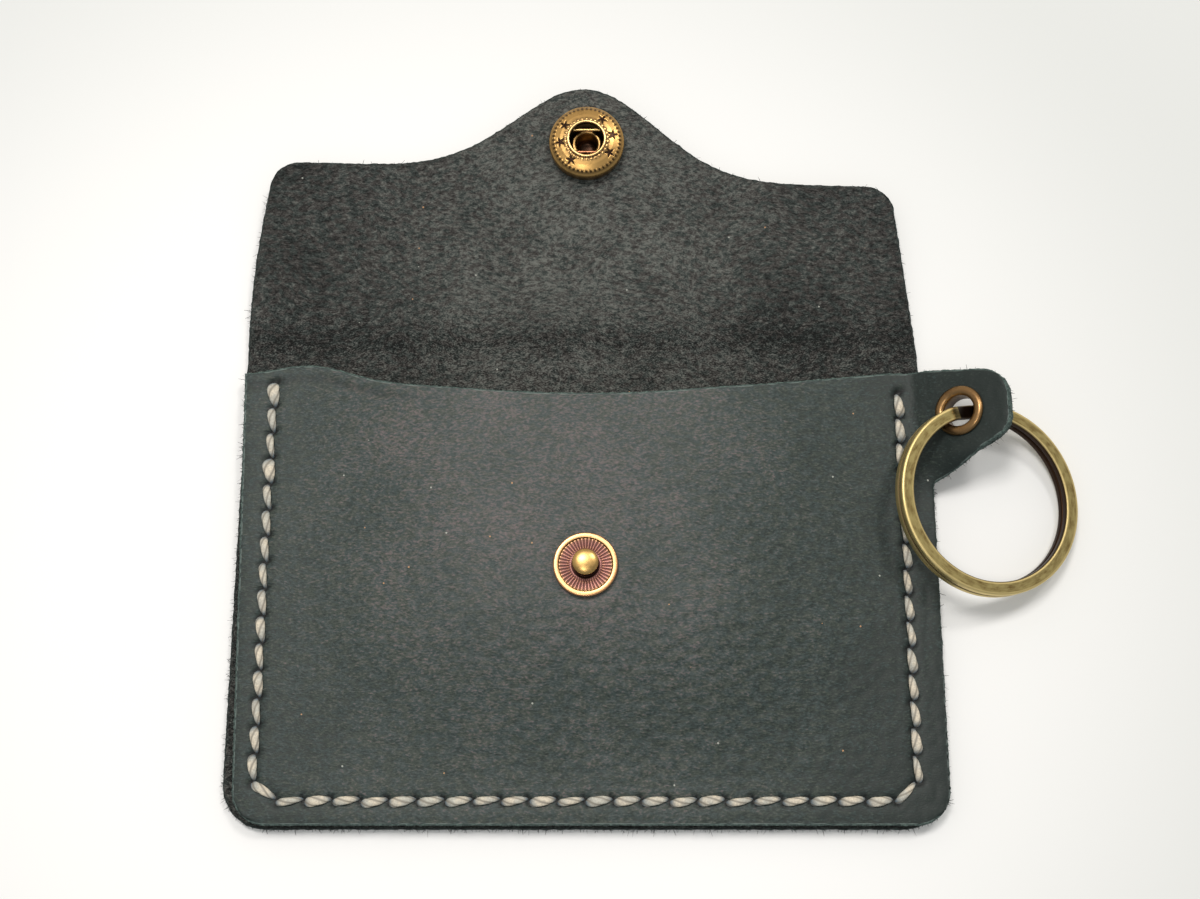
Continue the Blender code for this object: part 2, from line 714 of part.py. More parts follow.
def build_cap(parts, material, hinge):
    """The cap on the flap's outer side: a shallow dome and the barrel rolled over in the socket."""
    outer = CAP_DIAMETER / 2
    barrel = CAP_BARREL_DIAMETER / 2
    bore = barrel - BARREL_WALL
    top = LEATHER + 2 * SEAT_GAP + SHEET_METAL + BARREL_CLEARANCE
    roll = barrel + CAP_ROLL
    floor = SHEET_METAL - CAP_EDGE
    profile = [
        (0, floor),
        (bore, floor),
        (bore, top + SHEET_METAL),
        (roll - SHEET_METAL / 2, top + SHEET_METAL),
        (roll, top + SHEET_METAL / 2),
        (roll - SHEET_METAL / 2, top),
        (barrel, top - BARREL_CLEARANCE / 2),
        (barrel, 0),
        (outer - CAP_EDGE, 0),
    ]
    profile += [(outer, -CAP_EDGE / 2)]
    profile += bump(0, -CAP_EDGE, outer, CAP_HEIGHT - CAP_EDGE, 0, -90, 6)
    cap = turned("snap_cap", profile, False, parts, material)
    cap.parent = hinge
    cap.location = (0, SNAP_REACH, -FOLD_RISE - LEATHER - SEAT_GAP)
    return cap


def tube(name, points, diameter, resolution, collection, material):
    """A round wire or thread along straight stretches between points, with closed ends."""
    curve = bpy.data.curves.new(name, "CURVE")
    curve.dimensions = "3D"
    curve.bevel_depth = diameter / 2
    curve.bevel_resolution = resolution
    curve.use_fill_caps = True
    spline = curve.splines.new("POLY")
    spline.points.add(len(points) - 1)
    for target, point in zip(spline.points, points):
        target.co = (*point, 1)
    return make_object(name, curve, collection, material)


def build_spring(parts, material, hinge):
    """The socket's wire spring: two bars that close on the stud's neck, joined by one bend."""
    half_gap = NECK_DIAMETER / 2 + SPRING_WIRE / 2 + SPRING_SLACK
    half_bar = SPRING_BAR_LENGTH / 2
    height = SOCKET_HEIGHT - SOCKET_LIP - SHEET_METAL - SPRING_WIRE / 2 - SPRING_SLACK
    bend_steps = 8
    points = [(-half_bar, -half_gap, height)]
    for index in range(bend_steps + 1):
        angle = math.radians(-90 + 180 * index / bend_steps)
        points.append((half_bar + SPRING_BEND * math.cos(angle), half_gap * math.sin(angle), height))
    points.append((-half_bar, half_gap, height))
    spring = tube("snap_spring", points, SPRING_WIRE, 2, parts, material)
    spring.parent = hinge
    spring.location = (0, SNAP_REACH, SEAT_GAP - FOLD_RISE)
    return spring


def thread_route(points, slants, starts_in_front):
    """Route of one end of the thread: through each slot, on the front and the back by turns."""
    top = SEAM_TOP + THREAD_GAP + THREAD_DIAMETER / 2
    low = GROOVE_DEPTH - THREAD_GAP / 2 - THREAD_DIAMETER / 2
    side = THREAD_SPREAD / 2
    turn = THREAD_TURN
    inside_top = SEAM_TOP - THREAD_DIAMETER / 4
    inside_low = low + THREAD_DIAMETER
    route = []
    in_front = starts_in_front
    for index in range(len(points) - 1):
        start = points[index] - slants[index] * side * (1 if in_front else -1)
        end = points[index + 1] + slants[index + 1] * side * (1 if in_front else -1)
        run = (end - start).normalized()
        level = top if in_front else low
        inside = inside_top if in_front else inside_low
        if in_front or index == 0:
            route.append((*start, inside))
        route.append((*(start + run * turn), level))
        route.append((*(end - run * turn), level))
        if in_front or index == len(points) - 2:
            route.append((*end, inside))
        in_front = not in_front
    return route


def build_threads(parts, material, points, slants):
    """The two ends of the saddle-stitched thread."""
    for name, in_front in (("thread_left_end", True), ("thread_right_end", False)):
        route = thread_route(points, slants, in_front)
        tube(name, route, THREAD_DIAMETER, 1, parts, material)


def build_eyelet(parts, material, hole):
    """The tab's eyelet with a rolled rim, and the washer that its barrel is rolled over."""
    outer = EYELET_DIAMETER / 2
    bore = EYELET_BORE / 2
    barrel = bore + EYELET_WALL
    half = LEATHER / 2
    seat = half + SEAT_GAP
    rim_middle = (outer + bore) / 2
    rim_half = (outer - bore) / 2
    profile = bump(rim_middle, seat, rim_half, EYELET_RIM, 180, 0, 8)
    profile += [(barrel, seat), (barrel, -seat - BARREL_ROLL)]
    profile += [(barrel - EYELET_WALL / 3, -seat - WASHER_RIM)]
    profile += [(bore, -seat - BARREL_ROLL)]
    eyelet = turned("eyelet", profile, True, parts, material)
    inner = barrel + BARREL_CLEARANCE / 2
    crest = (inner + outer) / 2
    washer = [(inner, -seat)]
    washer += bump(crest, -seat, outer - crest, WASHER_RIM, 0, -90, 4)
    washer += [(inner, -seat - BARREL_ROLL)]
    back = turned("eyelet_washer", washer, True, parts, material)
    for item in (eyelet, back):
        item.location = hole
        item.rotation_euler = (0, -math.radians(TAB_ANGLE), 0)
    return eyelet


def ring_tilt(hole):
    """Tilt of the ring that hangs in the eyelet and lays its low side on the table."""
    heading = math.radians(RING_HEADING)
    reach = RING_RADIUS + RING_MID_RADIUS * math.sin(heading)
    drop = RING_HALF_HEIGHT + RING_DROP
    return math.asin((hole.z - TABLE_GAP) / math.hypot(reach, drop)) - math.atan2(drop, reach)


def ring_path():
    """Middle of the ring's flat wire as (angle, level): once round above, a step down, once round below."""
    level = RING_PITCH / 2
    step_from = RING_STEP_SHIFT - RING_STEP_HALF
    step_to = RING_STEP_SHIFT + RING_STEP_HALF
    path = []
    upper = round((360 + step_from - RING_UPPER_END) / RING_FACET)
    for index in range(upper):
        share = index / upper
        path.append((RING_UPPER_END + share * (360 + step_from - RING_UPPER_END), level))
    steps = round(2 * RING_STEP_HALF / STEP_FACET)
    for index in range(steps):
        share = index / steps
        path.append((360 + step_from + share * 2 * RING_STEP_HALF, level - 2 * level * float(smooth(share))))
    lower = round((360 - RING_LOWER_END - step_to) / RING_FACET)
    for index in range(lower + 1):
        share = index / lower
        path.append((360 + step_to + share * (360 - RING_LOWER_END - step_to), -level))
    return path


def wire_section():
    """Section of the ring's wire as (across, along the ring's axis): a flat bar with rounded edges."""
    half_width = RING_WIRE_WIDTH / 2
    half_height = RING_WIRE_HEIGHT / 2
    round_off = RING_WIRE_ROUND
    return [
        (half_width, half_height - round_off),
        (half_width - round_off, half_height),
        (round_off - half_width, half_height),
        (-half_width, half_height - round_off),
        (-half_width, round_off - half_height),
        (round_off - half_width, -half_height),
        (half_width - round_off, -half_height),
        (half_width, round_off - half_height),
    ]


def build_ring(parts, material, hole):
    """The split ring: two coils of flat wire with its step down inside the eyelet."""
    tilt = ring_tilt(hole)
    heading = math.radians(RING_HEADING)
    normal = Vector((math.sin(tilt), 0, math.cos(tilt)))
    level_axis = Vector((math.cos(tilt), 0, -math.sin(tilt)))
    to_hole = -level_axis * math.sin(heading) + Vector((0, 1, 0)) * math.cos(heading)
    tangent = to_hole.cross(normal)
    centre = hole - to_hole * RING_MID_RADIUS - normal * RING_DROP
    section = wire_section()
    work = bmesh.new()
    rings = []
    for degrees, level in ring_path():
        angle = math.radians(degrees)
        spoke = to_hole * math.cos(angle) + tangent * math.sin(angle)
        ring = []
        for across, along in section:
            place = centre + spoke * (RING_MID_RADIUS + across) + normal * (level + along) - hole
            ring.append(work.verts.new(place))
        rings.append(ring)
    count = len(section)
    for first, second in zip(rings, rings[1:]):
        for index in range(count):
            after = (index + 1) % count
            work.faces.new((first[index], first[after], second[after], second[index]))
    work.faces.new(rings[0][::-1])
    work.faces.new(rings[-1])
    bmesh.ops.recalc_face_normals(work, faces=work.faces)
    mesh = bpy.data.meshes.new("key_ring")
    work.to_mesh(mesh)
    work.free()
    shade_round(mesh)
    ring = make_object("key_ring", mesh, parts, material)
    ring.location = hole
    return ring


def main():
    """Build the whole wallet."""
    clear_scene()
    parts = make_collection("keychain_card_wallet")
    cutters = make_collection("cutters")
    grain = make_material("grain_leather", GRAIN_COLOUR, 0.6, 0.0)
    suede = make_material("flesh_side_leather", SUEDE_COLOUR, 0.9, 0.0)
    waxed = make_material("waxed_thread", THREAD_COLOUR, 0.6, 0.0)
    brass = make_material("antique_brass", BRASS_COLOUR, 0.35, 1.0)
    copper = make_material("antique_copper", COPPER_COLOUR, 0.35, 1.0)
    steel = make_material("spring_wire", STEEL_COLOUR, 0.3, 1.0)

    seam = stitch_points()
    points = seam[0] + seam[1] + seam[2][::-1]
    slants = stitch_slants(points)
    slots = slot_cutter("stitch_slots", points, slants, cutters)
    build_back(parts, cutters, suede, slots)
    build_front(parts, cutters, grain, slots, seam)
    build_threads(parts, waxed, points, slants)

    hinge = bpy.data.objects.new("fold_axis", None)
    parts.objects.link(hinge)
    hinge.location = (0, FOLD_Y, HINGE_Z)
    tilt = flap_tilt()
    hinge.rotation_euler = (tilt, 0, 0)
    build_flap(parts, cutters, suede, hinge)
    build_socket(parts, brass, hinge)
    build_spring(parts, steel, hinge)
    build_cap(parts, brass, hinge)
    build_stud(parts, copper)
    build_post(parts, brass)

    hole = tab_hole_centre()
    build_eyelet(parts, copper, hole)
    build_ring(parts, brass, hole)
    bpy.context.view_layer.update()
    print("flap tilt at rest, degrees:", round(math.degrees(tilt), 4))
    print("fold axis height, metres:", round(HINGE_Z, 6))
    print("eyelet centre, metres:", [round(value, 6) for value in hole])


main()
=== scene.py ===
"""Looks of a hand-sewn leather card wallet with a snap flap and a split key ring.

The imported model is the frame: its bodies carry the pieces modelled here, in metres, with +X to the key
ring, +Y to the flap's tip and +Z up. "Flat" places are those of the leather before it is bent.
"""

import json
import math
from functools import partial

import bpy
import numpy as np
from mathutils import Matrix, Vector


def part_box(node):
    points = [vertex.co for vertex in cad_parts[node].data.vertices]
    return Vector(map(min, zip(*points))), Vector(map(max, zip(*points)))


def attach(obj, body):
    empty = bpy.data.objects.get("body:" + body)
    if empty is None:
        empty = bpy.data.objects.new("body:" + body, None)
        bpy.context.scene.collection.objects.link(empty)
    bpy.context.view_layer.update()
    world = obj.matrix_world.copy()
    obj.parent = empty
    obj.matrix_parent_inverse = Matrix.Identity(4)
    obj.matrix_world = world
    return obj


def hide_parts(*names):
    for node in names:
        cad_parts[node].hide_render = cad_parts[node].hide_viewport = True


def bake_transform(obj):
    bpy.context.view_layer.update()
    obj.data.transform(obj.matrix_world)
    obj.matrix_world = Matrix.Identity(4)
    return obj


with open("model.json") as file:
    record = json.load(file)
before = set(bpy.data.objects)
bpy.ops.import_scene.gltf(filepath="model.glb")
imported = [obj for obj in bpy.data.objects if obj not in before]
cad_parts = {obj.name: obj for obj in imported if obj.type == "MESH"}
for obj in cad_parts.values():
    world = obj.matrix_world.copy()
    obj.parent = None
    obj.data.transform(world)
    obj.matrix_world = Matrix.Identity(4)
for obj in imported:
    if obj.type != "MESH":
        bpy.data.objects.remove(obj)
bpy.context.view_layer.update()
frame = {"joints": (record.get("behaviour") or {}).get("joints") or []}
JOINTS = {joint["name"]: joint for joint in frame["joints"]}


# Places read from the frame
def frame_box(node):
    """Lowest and highest corner of a CAD node as arrays."""
    low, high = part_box(node)
    return np.array(low), np.array(high)


BACK_LOW, BACK_HIGH = frame_box("back_panel")
FRONT_LOW, FRONT_HIGH = frame_box("front_panel")
STUD_LOW, STUD_HIGH = frame_box("snap_stud")
POST_LOW, POST_HIGH = frame_box("snap_post")
HINGE = np.array(JOINTS["flap_fold"]["pos_m"])
FLAP_TILT = math.pi - math.radians(JOINTS["flap_fold"]["range_deg"][1])
RING_PIVOT = np.array(JOINTS["ring_swing"]["pos_m"])

LEATHER = BACK_HIGH[2]
FOLD_Y = BACK_HIGH[1]
BOTTOM_Y = BACK_LOW[1]
HALF_WIDTH = -BACK_LOW[0]
SEAM_Z = FRONT_LOW[2]
SEAM_TOP = SEAM_Z + LEATHER
SNAP_Y = (STUD_LOW[1] + STUD_HIGH[1]) / 2
STUD_BASE = STUD_LOW[2]
SEAT_GAP = SEAM_Z - LEATHER
CROWN_TOP = STUD_BASE - SEAT_GAP
CROWN = CROWN_TOP - SEAM_TOP
SNAP_REACH = FOLD_Y - SNAP_Y
FOLD_RISE = HINGE[2] - LEATHER

# Leather as cut
BACK_CORNER_RADIUS = 0.0065
FRONT_CORNER_RADIUS = 0.005
FRONT_TOP_DROP = 0.0034
FRONT_LEFT_SLANT = 0.0018
FRONT_BOTTOM_INSET = 0.0005
MOUTH_DEPTH = 0.0043
MOUTH_INSET = 0.006
MOUTH_SHARPNESS = 1.2
FLAP_LEFT_SHOULDER = 0.0314
FLAP_RIGHT_SHOULDER = 0.0269
FLAP_LEFT_TAPER = 0.003
FLAP_LEFT_BOW = 0.0009
FLAP_RIGHT_TAPER = 0.0042
FLAP_RIGHT_INSET = 0.0012
FLAP_CORNER_RADIUS = 0.0045
FLAP_TIP = 0.0437
FLAP_TIP_SPREAD = 0.0154
FLAP_STEP_SPREAD = 0.031
CUT_ROUND = 0.00022

# Tab
TAB_ANGLE = math.radians(36.0)
TAB_BEND_RADIUS = 0.0033
TAB_BEND_CLEARANCE = 0.0011
TAB_HOLE_REACH = 0.0099
TAB_END_MARGIN = 0.0077
TAB_HOLE_DROP = 0.0107
TAB_TOP_FALL = 0.0019
TAB_TOP_RADIUS = 0.0048
TAB_END_RADIUS = 0.0034
TAB_END_LENGTH = 0.0091
TAB_ROOT_LENGTH = 0.0172
TAB_ROOT_RADIUS = 0.0012
TAB_TWIST_RUN = 0.0062

# Seam
STITCH_PITCH = 0.004
STITCH_MARGIN = 0.0046
STITCH_BOTTOM_MARGIN = 0.0039
STITCH_CORNER_CUT = 0.0034
STITCH_CORNER_RISE = 0.0026
STITCH_STRETCH_SHARE = 0.25
LEFT_FIRST_STITCH = 0.0048
RIGHT_FIRST_STITCH = 0.0065
STITCH_SPREAD = 0.0007
SLOT_LENGTH = 0.0024
SLOT_WIDTH = 0.00105
SLOT_SLANT = math.radians(120.0)
SHOULDER_RUN = 0.032
TOE_CLEARANCE = 0.0008

# Snap, eyelet and ring
STUD_RADIUS = 0.0047
BALL_RADIUS = 0.0019
NECK_RADIUS = 0.0015
SOCKET_RADIUS = 0.0059
SOCKET_HEIGHT = 0.0032
SOCKET_MOUTH = 0.00264
CAP_RADIUS = 0.0062
CAP_HEIGHT = 0.0016
CAP_BARREL = 0.0019
SHEET_METAL = 0.0004
POST_RADIUS = 0.0042
POST_FLANGE = 0.0005
BARREL_RADIUS = 0.00145
SPRING_WIRE = 0.0005
SPRING_HALF_GAP = 0.00185
SPRING_HALF_BAR = 0.0031
SPRING_BEND = 0.0011
EYELET_RADIUS = 0.0038
EYELET_BORE = 0.00235
EYELET_RIM = 0.00055
EYELET_WALL = 0.0003
RING_DIAMETER = 0.029
RING_WIRE_WIDTH = 0.002
RING_WIRE_HEIGHT = 0.00115
RING_WIRE_ROUND = 0.0003
RING_COIL_GAP = 0.00015
RING_DROP = 0.0005
RING_HEADING = math.radians(16.0)
RING_STEP_HALF = 7.0
RING_STEP_SHIFT = -2.0
RING_UPPER_END = 10.0
RING_LOWER_END = 17.0
TABLE_GAP = 0.00005

# Values that follow
FRONT_TOP_Y = FOLD_Y - FRONT_TOP_DROP
STITCH_X = HALF_WIDTH - STITCH_MARGIN
STITCH_Y = BOTTOM_Y + STITCH_BOTTOM_MARGIN
SLOT_REACH = SLOT_LENGTH / 2
MOUTH_HALF_WIDTH = HALF_WIDTH - MOUTH_INSET
CROWN_EDGE_X = STITCH_X - SLOT_REACH
CROWN_EDGE_Y = STITCH_Y + SLOT_REACH
TOE_RUN = SNAP_Y - STUD_RADIUS - TOE_CLEARANCE - CROWN_EDGE_Y
TAB_BEND_X = STITCH_X + TAB_BEND_CLEARANCE
TAB_HOLE_X = STITCH_X + TAB_HOLE_REACH
TAB_HOLE_Y = FOLD_Y - TAB_HOLE_DROP
TAB_ROOT_Y = FRONT_TOP_Y - TAB_ROOT_LENGTH
TAB_TWIST_Y = TAB_ROOT_Y - TAB_TWIST_RUN / 3

# Finer shapes of the leather
ARC_POINTS = 24
CUT_ANGLES = (35, 65, 90)
CUT_ROUGHNESS = 0.00005
MOUTH_POINTS = 120
FLAP_SIDE_SHARE = 5 / 6
FLAP_SIDE_POINTS = 30
FLAP_TOP_POINTS = 160
FRONT_CELL = 0.00047
SEAM_CELL = 0.00034
TAB_CELL = 0.000038
BACK_CELL = 0.0006
BACK_SEAM_CELL = 0.0004
LEFT_FADE = 0.0034
RIGHT_FADE = 0.0018
FOLD_EASE = 0.0034
WAVE_LENGTH = 0.03
FRONT_WAVE = 0.00012
FLAP_WAVE = 0.0003
GROOVE_PRESS = 0.00022
GROOVE_SPREAD = 0.0011
GROOVE_SINK = 0.0006
SLOT_DEPTH = 0.0006
SLOT_PRESS_SHARE = 0.75
SLOT_SHADE_REACH = 1.25
SLOT_SHADE_EASE = 0.65
SNAP_HOLE_CELLS = (2, 8)
TAB_HOLE_CELLS = (4, 13)
RIDGE_HEIGHT = 0.00014
RIDGE_SHARE = 1.36
RIDGE_WIDTH = 0.0008
EDGE_PRESS = 0.00012
EDGE_FALL = 0.0006
CREASE_DEPTH = 0.00006
CREASE_PITCH = 0.0011
CREASE_OFFSET = 0.0012
CREASE_WIDTH = 0.0007
CREASE_WANDER = 0.0004
CREASE_SLANT = 0.4
CREASE_LEAST = 0.6
NECK_TONE = 0.3
FOLD_DENT = 0.00018
TUFT_SIZE = 0.0016
TUFT_HEIGHT = 0.00006
ROUGH_REACH = 0.011
# A band beside the fold, darkened in the nap by painted shade
FOLD_SHADE_OFFSET = 0.0022
FOLD_SHADE_WIDTH = 0.0022
PEBBLE_SIZE = 0.0025
PEBBLE_DEPTH = 0.00019
PEBBLE_SLOPE = 0.6
PEBBLE_LOW = 0.25
PEBBLE_X = 0.006
PEBBLE_Y = -0.016
PEBBLE_SPREAD = 0.03

# Finer shapes of the thread and the fibres
STITCH_ROWS = 26
STITCH_SIDES = 30
THREAD_RISE = 0.0002
THREAD_BACK_LEVEL = 0.00042
THREAD_THIN = 0.00013
THREAD_HALF_WIDTH = 0.00066
THREAD_HALF_HEIGHT = 0.0004
STITCH_WANDER = 0.00007
STITCH_WIDTHS = (0.84, 1.14)
STITCH_TWIST = 1.05
STRANDS = 3
STRAND_DEPTH = 0.12
GROOVE_FROM = 0.5
STITCH_LEAN = 0.72
FORWARD_POWER = 0.85
RISE_POWER = 0.7
BODY_POWER = 1.35
DOUBLED_STITCHES = (0, 3)
DOUBLED_WIDTH = 1.4
FIBRE_ROWS = 4
FIBRE_SPACING = 0.00007
FIBRE_LEAST = 0.3
FIBRE_LOW_SHARE = 0.6
FIBRE_FADE = 0.004
FIBRE_LENGTH = 0.00028
FIBRE_VARIATION = 0.5
FIBRE_LONGEST = 0.0006
FIBRE_THICKNESS = 0.00006
FIBRE_WIDTHS = (0.6, 1.3)
FIBRE_TAPER = 0.7
FIBRE_ROOTS = (-0.45, 0.35)
FIBRE_SPREAD = 0.45
FIBRE_SAG = 0.15
FIBRE_CURL = 0.55
MOUTH_HUMP = 0.0018
MOUTH_HUMP_X = -0.041
MOUTH_HUMP_SPREAD = 0.0072
MOUTH_CREASE_DROP = 0.0021
MOUTH_CREASE_WIDTH = 0.0006
MOUTH_CREASE_DEPTH = 0.00014
MOUTH_CREASE_START = 0.018
MOUTH_CREASE_SHADE = 0.4

# Finer shapes of the metal
ROUND_STEPS = 144
LIP = 0.0005
SOCKET_CELL = 0.000075
SOCKET_STEPS = 480
STAR_CIRCLE = 0.0042
STAR_OUTER = 0.00085
STAR_INNER = 0.0003
STAR_EDGE = 0.00012
STAR_POINTS = 5
STAR_POWER = 1.3
STAR_STAMP = 0.0001
STAR_ANGLES = (11, 54, 145, 186, 234, 329)
INNER_DOTS = 0.00335
INNER_DOT_COUNT = 30
OUTER_DOTS = 0.00525
OUTER_DOT_COUNT = 48
DOT_SIZE = 0.00018
DOT_RAISE = 0.00008
DOT_SHARPNESS = 1.2
ROLL_HALF = 0.0003
STUD_RIM = 0.0008
STUD_ROLL = 0.00042
RIM_SQUARE = 0.55
STUD_CELL = 0.00009
BALL_MIDDLE = 0.0027
BALL_UNDER = 0.0003
DISH_LOW = 0.00036
DISH_HIGH = 0.00052
DISH_BEVEL = 0.0002
FLUTES = 44
FLUTE_START = 0.00222
FLUTE_END = 0.0039
FLUTE_FADE = 0.00018
FLUTE_DEPTH = 0.00012
FLUTE_SINK_SHARE = 0.6
FLUTE_STEPS = 12
# Painted highlights on the flutes' inner ends
BEAD_CIRCLE = 0.0026
BEAD_SIZE = 0.00018
BARREL_ROLL = 0.00045
SPRING_SIDES = 12
WASHER_RIM = 0.0005
RING_FACET = 1.5
RING_FLAT_SHARE = 0.8
RING_WORN_FROM = 0.6
RING_WORN_EASE = 0.5

# Colours and sizes of the finishes
STREAK_WIDTH = 0.0003
GRAIN_SIZE = 0.00022
GRAIN_DEPTH = 0.000035
TINT_SIZE = 0.0009
WANDER_SIZE = 0.009
WANDER = 0.0016
CLOUD_SIZE = 0.012
FINE_WEIGHT = 0.45
CLOUD_WEIGHT = 0.25
# Painted shade in the pebbles' hollows and in a band along the fold
HOLLOW_SHADE = 0.06
FOLD_SHADE_TONE = 0.085
GRAIN_RANGES = ((0.56, 0.9), (0.78, 1.18))
NAP_RANGES = ((0.6, 0.86), (0.8, 1.15))
TINT_RANGE = (0.42, 0.58)
# Painted sheen: a paler tone where the lights' reflection falls, on the front and on the flap's nap
SHEEN_STRETCH = (1.3, 0.75, 1.0)
SHEEN_MIDDLE_GRAIN = (-0.0078, 0.018, 0.0)
SHEEN_FALL = 52.0
SHEEN_TONE = 0.06
SHEEN_MIDDLE_NAP = (-0.002, 0.057, 0.0)
SHEEN_FROM = 0.005
SHEEN_TO = 0.05
SPECK_SPACING = 0.003
SPECK_SIZE = 0.00014
SPECK_STRENGTH = 0.85
SPECK_SHARE = 0.5
SPECK_WARM_SHARE = 0.5
NAP_SIZE = 0.00046
NAP_DEPTH = 0.0003
COMB_SIZE = 0.016
COMB_WANDER = 0.004
EDGE_FIBRE = 0.0004
THREAD_HAIR = 0.0003
THREAD_BLOTCH = 0.002
SMUDGE_SIZE = 0.0025
TARNISH_SIZE = 0.0003
TARNISH_DEPTH = 0.0000008
RING_SMUDGE = 0.0008
SCRATCH_WIDTH = 0.00018
SCRATCH_TURNS = (0.7, -0.9)
GRAIN_DARK = "#192320"
GRAIN_BLUE = "#31403e"
GRAIN_GREEN = "#354038"
GRAIN_LIGHT = "#6c6060"
GRAIN_EDGE = "#788682"
# Painted shade in the stitching slots
HOLE_SHADE = "#0b0c0c"
SPECK_WARM = "#b98d66"
SPECK_PALE = "#a9aba2"
SUEDE_DARK = "#101211"
SUEDE_COOL = "#333937"
SUEDE_WARM = "#3a3836"
SUEDE_TIP = "#6c6e69"
FIBRE_LIGHT = "#4a504e"
EDGE_DARK = "#151a19"
EDGE_LIGHT = "#46524f"
DYED_DARK = "#3a4744"
DYED_LIGHT = "#64766f"
THREAD_PALE = "#bfbdb0"
THREAD_WARM = "#dacfb9"
# Painted shade of the thread: grey-blue where it dives, darker in the grooves between strands
THREAD_END_SHADE = "#6d7d86"
THREAD_SHADE = "#7d766f"
THREAD_GROOVE_SHADE = "#827c70"
RING_BROWN = "#7d693f"
RING_OLIVE = "#aa9b68"
RING_GOLD = "#d8c388"
RING_DARK = "#33241a"
BRASS_BRIGHT = "#e6bd80"
BRASS_BODY = "#c39b5e"
BRASS_DARK = "#33241c"
COPPER_BRIGHT = "#d9a679"
COPPER_BODY = "#97764f"
COPPER_DARK = "#3d281a"
STUD_GOLD = "#dca674"
STUD_BALL = "#cfa868"
STUD_PINK = "#a3736c"
STUD_SHADE = "#2c1b18"
WIRE_BRASS = "#dcb878"
WIRE_COPPER = "#b57a58"
FLOOR_WHITE = "#f4f4f3"
FLOOR_DIM = "#d8dad8"

# Settings that many shader nodes share
WEIGHTED = {"operation": "MULTIPLY_ADD"}
EASED = {"interpolation_type": "SMOOTHSTEP"}
COLOURED = {"output": 2, "data_type": "RGBA"}

# Light and camera
ROOM_COOL = "#c3cad0"
ROOM_WARM = "#fffaf2"
ROOM_LIGHT = 0.6
LIGHTS = (
    ("window", (0.38, 0.48, 0.8), (0.16, 0.16), 2.1, "#fefbf7"),
    ("ceiling", (-0.15, 0.31, 0.85), (0.26, 0.24), 4.0, "#fefaf7"),
    ("lamp", (-0.1, -0.22, 0.8), (0.12, 0.12), 0.9, "#fdf8f0"),
)
BOARD_REACH = 1.5
BOARD_MIDDLE = (-0.02, 0.0, 0.0)
BOARD_BRIGHT = 0.05
BOARD_DIM = 0.14
SENSOR = 36.0
CAMERA_FOCUS_SHARE = 1589 / 1200
CAMERA_PLACE = (0.0021, -0.0418, 0.2338)
CAMERA_AIM = (0.0021, 0.02085, 0.0)


# Shapes of curves
def smooth(share):
    """Ease from 0 to 1 with level ends: 3s² - 2s³."""
    share = np.clip(share, 0.0, 1.0)
    return share * share * (3.0 - 2.0 * share)


def hill(distance, half_width):
    """A bell of height 1: exp(-(distance / half_width)²)."""
    return np.exp(-((distance / half_width) ** 2))


def unit(vectors):
    """Vectors divided by their lengths."""
    return vectors / np.linalg.norm(vectors, axis=-1, keepdims=True)


def circle(angle):
    """Points (cos, sin) of the unit circle at the angles."""
    return np.stack([np.cos(angle), np.sin(angle)], axis=-1)


def round_angles(count):
    """Angles spread evenly once round a circle, from 0."""
    return np.linspace(0, 2 * math.pi, count, endpoint=False)


def band(value, low, high, ease):
    """1 between two limits and 0 outside, eased over a width inside each limit."""
    return smooth((value - low) / ease) * smooth((high - value) / ease)


def corner_arc(before, corner, after, radius):
    """Points of the arc of a radius that rounds one corner between its two neighbours."""
    corner = np.array(corner, float)
    back, ahead = unit(np.array(before) - corner), unit(np.array(after) - corner)
    half = math.acos(float(np.dot(back, ahead))) / 2
    centre = corner + unit(back + ahead) * radius / math.sin(half)
    first = corner + back * radius / math.tan(half) - centre
    last = corner + ahead * radius / math.tan(half) - centre
    start = math.atan2(first[1], first[0])
    turn = (math.atan2(last[1], last[0]) - start + math.pi) % (2 * math.pi) - math.pi
    return centre + radius * circle(start + turn * np.linspace(0.0, 1.0, ARC_POINTS))


def soft_noise(places, size, seed):
    """Smooth noise of about -1 to 1: a sum of 24 sine waves of one wavelength range in random directions."""
    draw = np.random.default_rng(seed)
    waves = 24
    angle = draw.uniform(0, 2 * math.pi, waves)
    length = size * draw.uniform(0.7, 1.6, waves)
    phase = draw.uniform(0, 2 * math.pi, waves)
    across = circle(angle).T * 2 * math.pi / length
    return np.sin(places @ across + phase).sum(axis=-1) / math.sqrt(waves)


def pebbles(places, size, seed):
    """Soft pebbles from 0 to 1: how much further off the second nearest of scattered seeds is than the first.

    There is one seed to a square cell of the size, moved at random inside its cell.
    """
    cells = 128
    shift = np.random.default_rng(seed).uniform(0, 1, (cells, cells, 2))
    scaled = places / size
    cell = np.floor(scaled).astype(int)
    away = []
    for step in np.ndindex(3, 3):
        near = cell + step - 1
        gap = scaled - near - shift[near[..., 0] % cells, near[..., 1] % cells]
        away.append(np.hypot(gap[..., 0], gap[..., 1]))
    nearest, second = np.sort(away, axis=0)[:2]
    return smooth((second - nearest) / PEBBLE_SLOPE)


# Meshes
def grid_faces(rows, columns, wrap_rows=False, wrap_columns=False):
    """Quads between neighbours of a grid numbered row by row; a wrapped direction joins last to first."""
    index = np.arange(rows * columns).reshape(rows, columns)
    if wrap_rows:
        index = np.vstack([index, index[:1]])
    if wrap_columns:
        index = np.hstack([index, index[:, :1]])
    corners = (index[:-1, :-1], index[:-1, 1:], index[1:, 1:], index[1:, :-1])
    return np.stack(corners, axis=-1).reshape(-1, 4)


